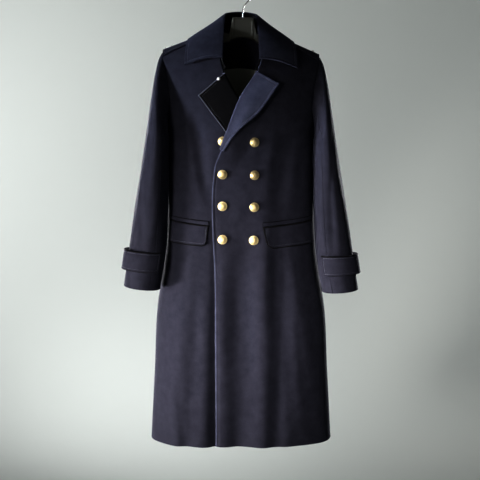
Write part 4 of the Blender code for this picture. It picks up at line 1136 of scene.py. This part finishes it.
def satin_material():
    """Olive satin: smooth, with a fine crosswise thread and a gentle change of tone."""
    satin = new_finish("olive_satin", {
        "Roughness": 0.42,
        "Sheen Weight": 0.3,
        "Sheen Tint": (0.6, 0.6, 0.5, 1.0),
    })
    tint(satin, speckle(satin, 22.0), (0.060, 0.064, 0.040), (0.120, 0.124, 0.084))
    place = satin.node_tree.nodes.new("ShaderNodeTexCoord")
    threads = satin.node_tree.nodes.new("ShaderNodeTexWave")
    threads.bands_direction = "Z"
    threads.inputs["Scale"].default_value = 900.0
    threads.inputs["Distortion"].default_value = 1.5
    threads.inputs["Detail"].default_value = 2.0
    satin.node_tree.links.new(place.outputs["Object"], threads.inputs["Vector"])
    emboss(satin, threads.outputs["Fac"], 0.12, 0.0002)
    return satin


lining_down = graded(LINING_LENGTH, LINING_ROW_STEP)
lining_across = 2 * graded(LINING_WIDTH, LINING_COLUMN_STEP) - 1
lining_levels = LINING_LOW_LEVEL + (LINING_TOP_LEVEL - LINING_LOW_LEVEL) * lining_down
lining_angles = LINING_SIDE * armhole_size("angle", lining_levels)[:, None] * lining_across
lining_outer, lining_out = panel("back", lining_levels[:, None], lining_angles)
lining_depth = CLOTH + LINING_GAP + LINING + LINING_LOOSE
lining_depth = lining_depth + swell(LINING_FOLDS, lining_outer[..., 0], lining_outer[..., 2])
lining_face = lining_outer - lining_out * lining_depth[..., None]
lining_cloth = cloth_wall("back_lining_cloth", lining_face, -lining_out, satin_material(), LINING)
dress(lining_cloth, "back_lining")


# Pockets. Flap pockets cut into both fronts, of the same wool: a narrow welt along the slit and a topstitched
# flap that hangs from it, both sloping down towards the front edge.
PocketEnd = namedtuple("PocketEnd", "top_x top_z low_x low_z")
Pocket = namedtuple("Pocket", "side front length inner outer")
POCKETS = (
    Pocket(
        "left", "front_left", 0.158,
        PocketEnd(0.0565, -0.629, 0.070, -0.688),
        PocketEnd(0.190, -0.609, 0.190, -0.673),
    ),
    Pocket(
        "right", "front_right", 0.130,
        PocketEnd(-0.084, -0.630, -0.094, -0.686),
        PocketEnd(-0.190, -0.619, -0.190, -0.680),
    ),
)
POCKET_GAP = 0.0012
POCKET_STEP = 0.003
BEHIND_POCKETS = np.array([0.0, 0.1, -0.65])
FLAP_DEPTH = 0.06
FLAP_HANG = 0.0045
FLAP_STITCH = 0.0075
FLAP_CORNER = 0.012
FLAP_ROLL = 0.0022
FLAP_SHADE_WIDTH = 0.0032
WELT = 0.002
WELT_HEIGHT = 0.011
WELT_CLEAR = 0.0006
WELT_CROWN = 0.0006
WELT_STEP = 0.001
WELT_ROLL = 0.002
WELT_SHADE_WIDTH = 0.0014
WELT_NEAR_EDGE = (0.0, 0.0004, 0.0009, 0.0015, 0.0022)


def front_grid(name, tops, lows, along, down):
    """Points and normals on a front between four places seen from the front, even in level and angle."""
    corners = [locate(*place) for place in (*tops, *lows)]
    spread = []
    for which in range(2):
        top = corners[0][which] + (corners[1][which] - corners[0][which]) * along
        low = corners[2][which] + (corners[3][which] - corners[2][which]) * along
        spread.append(top + (low - top) * down)
    return panel(name, *spread)


flap_borders = ("high", "left", "right")
flap_rolls = {border: FLAP_ROLL for border in ("high", "left")}
for pocket in POCKETS:
    tops = [(end.top_x, end.top_z) for end in (pocket.inner, pocket.outer)]
    lows = [(end.low_x, end.low_z) for end in (pocket.inner, pocket.outer)]
    along = graded(pocket.length, POCKET_STEP)

    down = graded(FLAP_DEPTH, POCKET_STEP)[:, None]
    into_corner = np.clip(1 - along * pocket.length / FLAP_CORNER, 0.0, 1.0)
    cut_short = FLAP_CORNER * (1 - np.sqrt(1 - into_corner ** 2)) / FLAP_DEPTH
    face, out = front_grid(pocket.front, tops, lows, along, down * (1 - cut_short))
    face = face + out * (POCKET_GAP + CLOTH + FLAP_HANG * down ** 2)[..., None]
    out = grid_normals(face, BEHIND_POCKETS)
    pressed = stitched(face, out, flap_borders, FLAP_STITCH)
    flap = cloth_wall("pocket_flap_%s_cloth" % pocket.side, pressed, out, wool, rolls=flap_rolls)
    # Painted shade: dark outlines along the flap's top, bottom and front edges and on its turned edges, where
    # shadow falls.
    paint_edge_light_shade(flap, pressed, ("low", "high", "left"), FLAP_SHADE_WIDTH, painted_shade_wool)
    dress(flap, "pocket_flap_%s" % pocket.side)
    stitches = edge_stitches("pocket_flap_%s_topstitch" % pocket.side, pressed, out, flap_borders, FLAP_STITCH)

    welt_tops = [(x, z + WELT_HEIGHT) for x, z in tops]
    welt_lows = [(x, z + WELT_CLEAR) for x, z in tops]
    down = graded(WELT_HEIGHT, WELT_STEP, WELT_NEAR_EDGE)[:, None]
    face, out = front_grid(pocket.front, welt_tops, welt_lows, along, down)
    face = face + out * (POCKET_GAP + WELT + WELT_CROWN * np.sin(math.pi * down))[..., None]
    welt = cloth_wall("pocket_welt_%s_cloth" % pocket.side, face, out, wool, WELT, {"high": WELT_ROLL})
    # Painted shade: dark strips along two of the welt's edges and on its turned edges, where shadow falls.
    paint_edge_light_shade(welt, face, ("low", "left"), WELT_SHADE_WIDTH, painted_shade_wool)
    dress(welt, "pocket_welt_%s" % pocket.side)


# Buttons. Domed gilt metal buttons in two rows, with a corded rim and a plain raised rosette inside a groove.
# Each is sewn on by a short shank that stands on the cloth.
BUTTON_ROWS_Z = (-0.4085, -0.494, -0.578, -0.6655)
BUTTON_LEFT_X = 0.0345
BUTTON_RIGHT_X = -0.048
BUTTON_RADIUS = 0.0125
BUTTON_TURNS = 96
SET_GAP = 0.0007
POLE_RADIUS = 0.0002
SHANK_RADIUS = 0.0040
SHANK_LENGTH = 0.0014
RIM_RADIUS = 0.0114
RIM_HALF = 0.0012
RIM_ROWS = 9
RIM_CORDS = 32
CORD_HEIGHT = 0.00022
CORD_SLANT = 1.2
DOME_RADIUS = 0.0108
DOME_FOOT = 0.0036
DOME_HEIGHT = 0.0030
DOME_POWER = 2.4
DOME_ROWS = 30
DOME_TIP = 0.02
PETALS = 8
PETAL_HEIGHT = 0.00042
PETAL_INNER = (0.16, 0.30)
PETAL_OUTER = (0.62, 0.74)
GROOVE_PLACE = 0.84
GROOVE_HALF = 0.05
GROOVE_DEPTH = 0.00035
BOSS_EDGE = (0.10, 0.17)
BOSS_HEIGHT = 0.0004

# Polished gilt over brass: warm gold, uneven in tone, with faint handling marks.
gilt = new_finish("polished_gilt", {"Metallic": 0.91})
handling = speckle(gilt, 420.0, 4.0)
tint(gilt, handling, (0.22, 0.168, 0.076), (0.39, 0.325, 0.185))
roughen(gilt, handling, 0.34, 0.52)


def facing(normal):
    """Three axes for a piece set on cloth: two across it and the normal."""
    aside = unit(np.cross(UP, normal))
    return np.stack([aside, np.cross(normal, aside), normal])


def turned_piece(name, radii, heights, turns, point, normal, material):
    """Turned piece on the cloth: rings of radius and height round the normal, closed at both ends."""
    turn = np.linspace(0.0, 2 * math.pi, turns, endpoint=False)
    radii, heights = (np.broadcast_to(sizes, (len(sizes), turns)) for sizes in (radii, heights))
    local = np.stack([radii * np.cos(turn), radii * np.sin(turn), heights], axis=-1)
    points = settle(point) + local @ facing(normal)
    return add_piece(name, points, tube_faces(len(radii), turns), material)


def button_rings():
    """Radius and height of a button's rings: flat back, corded rim, a ring groove and a domed rosette."""
    turn = np.linspace(0.0, 2 * math.pi, BUTTON_TURNS, endpoint=False)
    back = np.array([(POLE_RADIUS, 0.0), (SHANK_RADIUS, 0.0), (SHANK_RADIUS, SHANK_LENGTH)])
    side = np.linspace(-0.5, 0.5, RIM_ROWS) * math.pi
    rim_height = SHANK_LENGTH + RIM_HALF
    rim = np.stack([RIM_RADIUS + RIM_HALF * np.cos(side), rim_height + RIM_HALF * np.sin(side)], axis=-1)
    inner = np.linspace(1.0, DOME_TIP, DOME_ROWS)
    dome = np.stack([DOME_RADIUS * inner, DOME_FOOT + DOME_HEIGHT * (1 - inner ** DOME_POWER)], axis=-1)
    profile = np.concatenate([back, rim, dome])
    radii = np.repeat(profile[:, :1], BUTTON_TURNS, axis=1)
    heights = np.repeat(profile[:, 1:], BUTTON_TURNS, axis=1)
    rim_rows = slice(len(back), len(back) + len(rim))
    cord = CORD_HEIGHT * np.sin(RIM_CORDS * turn + CORD_SLANT * side[:, None])
    radii[rim_rows] += cord * np.cos(side)[:, None]
    heights[rim_rows] += cord * np.clip(np.sin(side), 0, 1)[:, None]
    reach = inner[:, None]
    petal = PETAL_HEIGHT * np.abs(np.cos(PETALS / 2 * turn))
    petal = petal * ease(*PETAL_INNER, reach) * (1 - ease(*PETAL_OUTER, reach))
    groove = GROOVE_DEPTH * np.exp(-((reach - GROOVE_PLACE) / GROOVE_HALF) ** 2)
    boss = BOSS_HEIGHT * (1 - ease(*BOSS_EDGE, reach))
    heights[len(back) + len(rim):] += petal - groove + boss
    return radii, heights


def set_button(name, panel_name, x, z):
    """Button on a front panel at a place seen from the front, square to the cloth and clear of it."""
    reach = BUTTON_RADIUS * np.array([(0, 0), (1, 0), (0, 1), (-1, 0), (0, -1)])
    spots, _ = panel(panel_name, *locate(x + reach[:, 0], z + reach[:, 1]))
    normal = unit(np.cross(spots[1] - spots[3], spots[2] - spots[4]))
    height = np.max((spots - spots[0]) @ normal) + SET_GAP
    radii, heights = button_rings()
    piece = turned_piece(name + "_gilt", radii, heights + height, BUTTON_TURNS, spots[0], normal, gilt)
    return dress(piece, name)


for number, z in enumerate(BUTTON_ROWS_Z, 1):
    set_button("button_left_%d" % number, "front_left", BUTTON_LEFT_X, z)
    carrier = "front_right" if number == 1 else "front_left"
    set_button("button_right_%d" % number, carrier, BUTTON_RIGHT_X, z)


# Studs. Small polished white-metal studs on the epaulettes, and one at the top of the right lapel. Each has a
# flared collar under a low dome and stands on the cloth.
STUD_TURNS = 40
STUD_REACH = 0.004
STUD_GAP = 0.0004
STUD_DOME_RADIUS = 0.0034
STUD_DOME_FOOT = 0.0013
STUD_DOME_HEIGHT = 0.0017
STUD_DOME_TURN = 1.54
STUD_DOME_ROWS = 12
StudRing = namedtuple("StudRing", "radius height")
STUD_FOOT = (
    StudRing(POLE_RADIUS, 0.0),
    StudRing(0.0040, 0.0),
    StudRing(0.0044, 0.0005),
    StudRing(0.0042, 0.0010),
    StudRing(0.0036, 0.0012),
)
StudPlace = namedtuple("StudPlace", "name x")
STUD_PLACES = (
    StudPlace("left_1", 0.190),
    StudPlace("right_1", -0.182),
    StudPlace("right_2", -0.200),
)
LAPEL_STUD_ALONG = 0.06
LAPEL_STUD_ACROSS = 0.17

# Polished nickel with faint uneven wear.
nickel = new_finish("polished_nickel", {"Metallic": 0.30})
rubbing = speckle(nickel, 500.0)
tint(nickel, rubbing, (0.52, 0.52, 0.50), (0.78, 0.78, 0.76))
roughen(nickel, rubbing, 0.16, 0.36)


def set_stud(node, point, normal):
    """Stud on the cloth at a point: rings of a flared collar and a low dome round the normal."""
    turn = STUD_DOME_TURN * np.linspace(0.0, 1.0, STUD_DOME_ROWS)
    dome_height = STUD_DOME_FOOT + STUD_DOME_HEIGHT * np.sin(turn)
    profile = np.concatenate([STUD_FOOT, np.stack([STUD_DOME_RADIUS * np.cos(turn), dome_height], axis=-1)])
    foot = point + STUD_GAP * normal
    piece = turned_piece(node + "_metal", profile[:, :1], profile[:, 1:], STUD_TURNS, foot, normal, nickel)
    return dress(piece, node)


for place in STUD_PLACES:
    reach = abs(place.x)
    spots = shoulder_strip(reach + np.array([-STUD_REACH, 0.0, STUD_REACH]), np.zeros(3))
    across = shoulder_strip(np.full(2, reach), np.array([-STUD_REACH, STUD_REACH]))
    normal = unit(np.cross(spots[2] - spots[0], across[1] - across[0]))
    strap_top = spots[1] + (EPAULETTE_GAP + CLOTH + EPAULETTE_CROWN) * normal
    flip = FLIPS["left" if place.x > 0 else "right"]
    set_stud("epaulette_stud_%s" % place.name, strap_top * flip, normal * flip)

face, out = lapel_faces["right"]
stud_row = round(LAPEL_STUD_ALONG * (len(face) - 1))
stud_column = LAPEL_ROLL_STEPS + round(LAPEL_STUD_ACROSS * (face.shape[1] - LAPEL_ROLL_STEPS - 1))
set_stud("lapel_stud", face[stud_row, stud_column], out[stud_row, stud_column])


# Hanger. A broad hanger moulded in plastic: a centre block with two raised ribs and an arched lower edge,
# over arms that carry the shoulders from inside.
BlockStation = namedtuple("BlockStation", "x top low half_depth")
HANGER_BLOCK = (
    BlockStation(0.000, -0.0760, -0.1290, 0.011),
    BlockStation(0.018, -0.0760, -0.1310, 0.011),
    BlockStation(0.0285, -0.0775, -0.1350, 0.011),
    BlockStation(0.0320, -0.1000, -0.1380, 0.012),
    BlockStation(0.0370, -0.1200, -0.1420, 0.013),
)
ArmStation = namedtuple("ArmStation", "x height half_depth")
HANGER_ARM = (
    ArmStation(0.055, 0.026, 0.014),
    ArmStation(0.080, 0.034, 0.016),
    ArmStation(0.115, 0.034, 0.018),
    ArmStation(0.150, 0.034, 0.018),
    ArmStation(0.180, 0.034, 0.016),
    ArmStation(0.192, 0.022, 0.009),
)
ARM_DROP = 0.0073
RIB_X = 0.0255
RIB_HEIGHT = 0.0012
RIB_HALF = 0.0014
HANGER_TURNS = 48
HANGER_ROWS = 150
BLOCK_REACH = 0.04
BLOCK_ROWS = 81
SECTION_POWER = 0.36


# Satin moulded plastic in dark olive grey, with a fine grained surface and soft scuffs.
plastic = new_finish("moulded_plastic", {"Specular IOR Level": 0.3})
scuffs = speckle(plastic, 30.0, 6.0)
tint(plastic, scuffs, (0.0190, 0.0178, 0.0118), (0.0265, 0.0250, 0.0178))
roughen(plastic, scuffs, 0.60, 0.78)
emboss(plastic, speckle(plastic, 900.0), 0.08, 0.0003)


def hanger_half(side):
    """Stations of one half of the hanger from its middle out: the block, then the arm under the shoulder."""
    rows = [row._replace(x=side * row.x) for row in HANGER_BLOCK]
    for row in HANGER_ARM:
        top = float(shoulder_z(HOOK_OFFSET + side * row.x)) - ARM_DROP
        rows.append(BlockStation(side * row.x, top, top - row.height, row.half_depth))
    return rows


hanger_rows = hanger_half(-1)[:0:-1] + hanger_half(1)
hanger_x = [row.x for row in hanger_rows]
whole = np.linspace(hanger_x[0], hanger_x[-1], HANGER_ROWS)
reach = np.unique(np.concatenate([whole, np.linspace(-BLOCK_REACH, BLOCK_REACH, BLOCK_ROWS)]))
top, low, half_depth = between(reach, hanger_x, [row[1:] for row in hanger_rows]).T[..., None]
rib = RIB_HEIGHT * np.exp(-((np.abs(reach) - RIB_X) / RIB_HALF) ** 2)[:, None]
section = np.linspace(0.0, 2 * math.pi, HANGER_TURNS, endpoint=False)
hanger_points = np.stack(np.broadcast_arrays(
    HOOK_OFFSET + reach[:, None],
    (half_depth + rib) * squared_off(np.sin(section), SECTION_POWER),
    (top + low) / 2 + (top - low) / 2 * squared_off(np.cos(section), SECTION_POWER),
), axis=-1)
hanger = add_piece("hanger_moulding", settle(hanger_points), tube_faces(len(reach), HANGER_TURNS), plastic)
dress(hanger, "hanger")


# Hook. Bright drawn steel wire set in the block: a straight shank, a slight set to one side and a round bend
# that goes over the rail.
WIRE_RADIUS = 0.00175
HOOK_INSIDE = 0.01825
HOOK_BEND_Z = -0.051
HOOK_FOOT_Z = -0.0757
HOOK_START = math.radians(-37)
HOOK_END = math.radians(205)
HOOK_BEND_ROWS = 22
SET_LOW = 0.004
SET_HIGH = 0.003
SET_ASIDE = 0.0024
WIRE_SIDES = 16
WIRE_ROWS = 160
TIP_ROUNDING = 0.96


# Drawn steel wire: bright, with a fine uneven polish.
steel = new_finish("drawn_steel", {"Metallic": 1.0})
polish = speckle(steel, 700.0, 3.0)
tint(steel, polish, (0.50, 0.50, 0.49), (0.74, 0.74, 0.73))
roughen(steel, polish, 0.18, 0.34)

hook_radius = HOOK_INSIDE + WIRE_RADIUS
bend = np.linspace(HOOK_START, HOOK_END, HOOK_BEND_ROWS)
bend_line = np.stack([hook_radius * np.cos(bend), -HOOK_INSIDE + hook_radius * np.sin(bend)], axis=-1)
shank = [(0.0, HOOK_FOOT_Z), (0.0, HOOK_BEND_Z - SET_LOW), (SET_ASIDE, HOOK_BEND_Z + SET_HIGH)]
route = np.concatenate([shank, bend_line])
run = run_along(route)
fine_run = np.linspace(0.0, run[-1], WIRE_ROWS)
fine = through(run, route, fine_run)
ahead = unit(np.gradient(fine, axis=0))
to_tip = (run[-1] - fine_run)[:, None]
girth = WIRE_RADIUS * np.sqrt(1 - np.clip(1 - to_tip / WIRE_RADIUS, 0.0, TIP_ROUNDING) ** 2)
wire_turn = np.linspace(0.0, 2 * math.pi, WIRE_SIDES, endpoint=False)
wire_points = np.stack([
    fine[:, :1] + girth * np.cos(wire_turn) * ahead[:, 1:],
    girth * np.sin(wire_turn),
    fine[:, 1:] - girth * np.cos(wire_turn) * ahead[:, :1],
], axis=-1)
hook = add_piece("hook_wire", wire_points, tube_faces(len(fine), WIRE_SIDES), steel)
dress(hook, "hanger_hook")


# Studio. A floor of pale matt paint that curves up into a far wall, a dim pale surround, and soft lights:
# three from the front left, two from behind, three on the floor and four on the wall.
FLOOR_Z = -1.90
FLOOR_END_Y = 0.8
WALL_Y = 4.4
WALL_TOP_Z = 7.0
STAGE_HALF = 9.0
SWEEP_HEIGHT = 3.4
SWEEP_ROWS = 40
STAGE_COLUMNS = 9
sweep_turn = np.linspace(0.0, math.pi / 2, SWEEP_ROWS)
sweep_y = FLOOR_END_Y + (WALL_Y - FLOOR_END_Y) * np.sin(sweep_turn)
sweep_z = FLOOR_Z + SWEEP_HEIGHT * (1 - np.cos(sweep_turn))
stage_x = np.linspace(-STAGE_HALF, STAGE_HALF, STAGE_COLUMNS)
stage_y = np.concatenate([[-STAGE_HALF], sweep_y, [WALL_Y]])[:, None]
stage_z = np.concatenate([[FLOOR_Z], sweep_z, [WALL_TOP_Z]])[:, None]
stage_points = np.stack(np.broadcast_arrays(stage_x, stage_y, stage_z), axis=-1)
pale = new_finish("pale_paint", {"Base Color": (0.70, 0.73, 0.71, 1.0), "Roughness": 0.95})
sweep = smooth_object("pale_sweep", stage_points, grid_cells(len(stage_y), STAGE_COLUMNS), pale)

# The surround is brighter round the sides and below than overhead.
world = bpy.data.worlds.new("pale_surround")
world.use_nodes = True
surround = world.node_tree
surround.nodes["Background"].inputs["Color"].default_value = (0.96, 1.0, 0.99, 1.0)
towards = surround.nodes.new("ShaderNodeTexCoord")
axes = surround.nodes.new("ShaderNodeSeparateXYZ")
fade = surround.nodes.new("ShaderNodeMapRange")
fade.interpolation_type = "SMOOTHSTEP"
for socket, value in (("From Min", -0.05), ("From Max", 0.55), ("To Min", 0.26), ("To Max", 0.06)):
    fade.inputs[socket].default_value = value
surround.links.new(towards.outputs["Generated"], axes.inputs["Vector"])
surround.links.new(axes.outputs["Z"], fade.inputs["Value"])
surround.links.new(fade.outputs["Result"], surround.nodes["Background"].inputs["Strength"])
bpy.context.scene.world = world

WINDOW = (0.80, 0.88, 1.0)
BOUNCE = (1.0, 0.97, 0.93)
DAY = (1.0, 1.0, 1.0)
SoftLight = namedtuple("SoftLight", "name place aim width height power colour beam")
SOFT_LIGHTS = (
    SoftLight("key_left", (-2.5, -0.98, -1.50), (0.0, -0.10, -1.00), 0.60, 0.80, 18.5, BOUNCE, 28),
    SoftLight("front_left", (-1.3, -2.2, -0.60), (0.04, -0.10, -0.82), 0.60, 0.60, 5.5, BOUNCE, 26),
    SoftLight("upper_left", (-2.5, -0.72, -0.20), (-0.02, -0.08, -0.20), 0.60, 0.60, 4.6, WINDOW, 13),
    SoftLight("back_left", (-1.8, 3.0, -0.1), (0.0, 0.05, -0.65), 0.8, 1.2, 24.0, DAY, 40),
    SoftLight("back_right", (1.8, 3.0, -0.1), (0.0, 0.05, -0.65), 0.8, 1.2, 24.0, DAY, 40),
    SoftLight("floor_front", (0.0, -4.2, 2.6), (0.0, -4.0, -1.9), 2.0, 2.0, 70.0, DAY, 100),
    SoftLight("floor_left", (-4.6, -1.2, 2.6), (-4.5, -1.2, -1.9), 2.0, 2.0, 60.0, DAY, 96),
    SoftLight("floor_right", (4.6, -1.2, 2.6), (4.5, -1.2, -1.9), 2.0, 2.0, 60.0, DAY, 96),
    SoftLight("wall_left", (-3.6, 1.2, -0.2), (-1.2, 4.4, -0.3), 1.6, 2.4, 42.0, DAY, 100),
    SoftLight("wall_high", (-2.2, 1.0, 1.4), (-0.8, 4.4, 0.2), 1.6, 1.0, 7.0, DAY, 100),
    SoftLight("wall_low", (-0.7, 0.9, -0.6), (0.0, 3.0, -1.8), 1.6, 0.8, 15.0, DAY, 110),
    SoftLight("wall_right", (3.0, 1.2, -0.2), (1.2, 4.4, -0.5), 1.6, 2.4, 7.2, DAY, 100),
)
for row in SOFT_LIGHTS:
    light = bpy.data.lights.new(row.name, "AREA")
    light.shape = "RECTANGLE"
    light.size = row.width
    light.size_y = row.height
    light.energy = row.power
    light.color = row.colour
    light.spread = math.radians(row.beam)
    lamp = bpy.data.objects.new(row.name, light)
    lamp.location = row.place
    lamp.rotation_euler = (Vector(row.aim) - Vector(row.place)).to_track_quat("-Z", "Y").to_euler()
    bpy.context.scene.collection.objects.link(lamp)


# Camera. It stands in front of the coat at chest height and looks slightly down, as in the photograph. The
# picture's gamma deepens the dark tones.
CAMERA_PLACE = Vector((-0.00805, -2.4, -0.4285))
CAMERA_AIM = Vector((-0.00805, 0.0, -0.6755))
FOCAL_LENGTH = 65.775
SENSOR = 36.0
CLIP_END = 60.0
PICTURE_GAMMA = 0.75
lens = bpy.data.cameras.new("camera")
lens.lens = FOCAL_LENGTH
lens.sensor_width = SENSOR
lens.clip_end = CLIP_END
camera = bpy.data.objects.new("camera", lens)
camera.location = CAMERA_PLACE
camera.rotation_euler = (CAMERA_AIM - CAMERA_PLACE).to_track_quat("-Z", "Y").to_euler()
bpy.context.scene.collection.objects.link(camera)
bpy.context.scene.camera = camera
bpy.context.scene.view_settings.view_transform = "Standard"
bpy.context.scene.view_settings.gamma = PICTURE_GAMMA
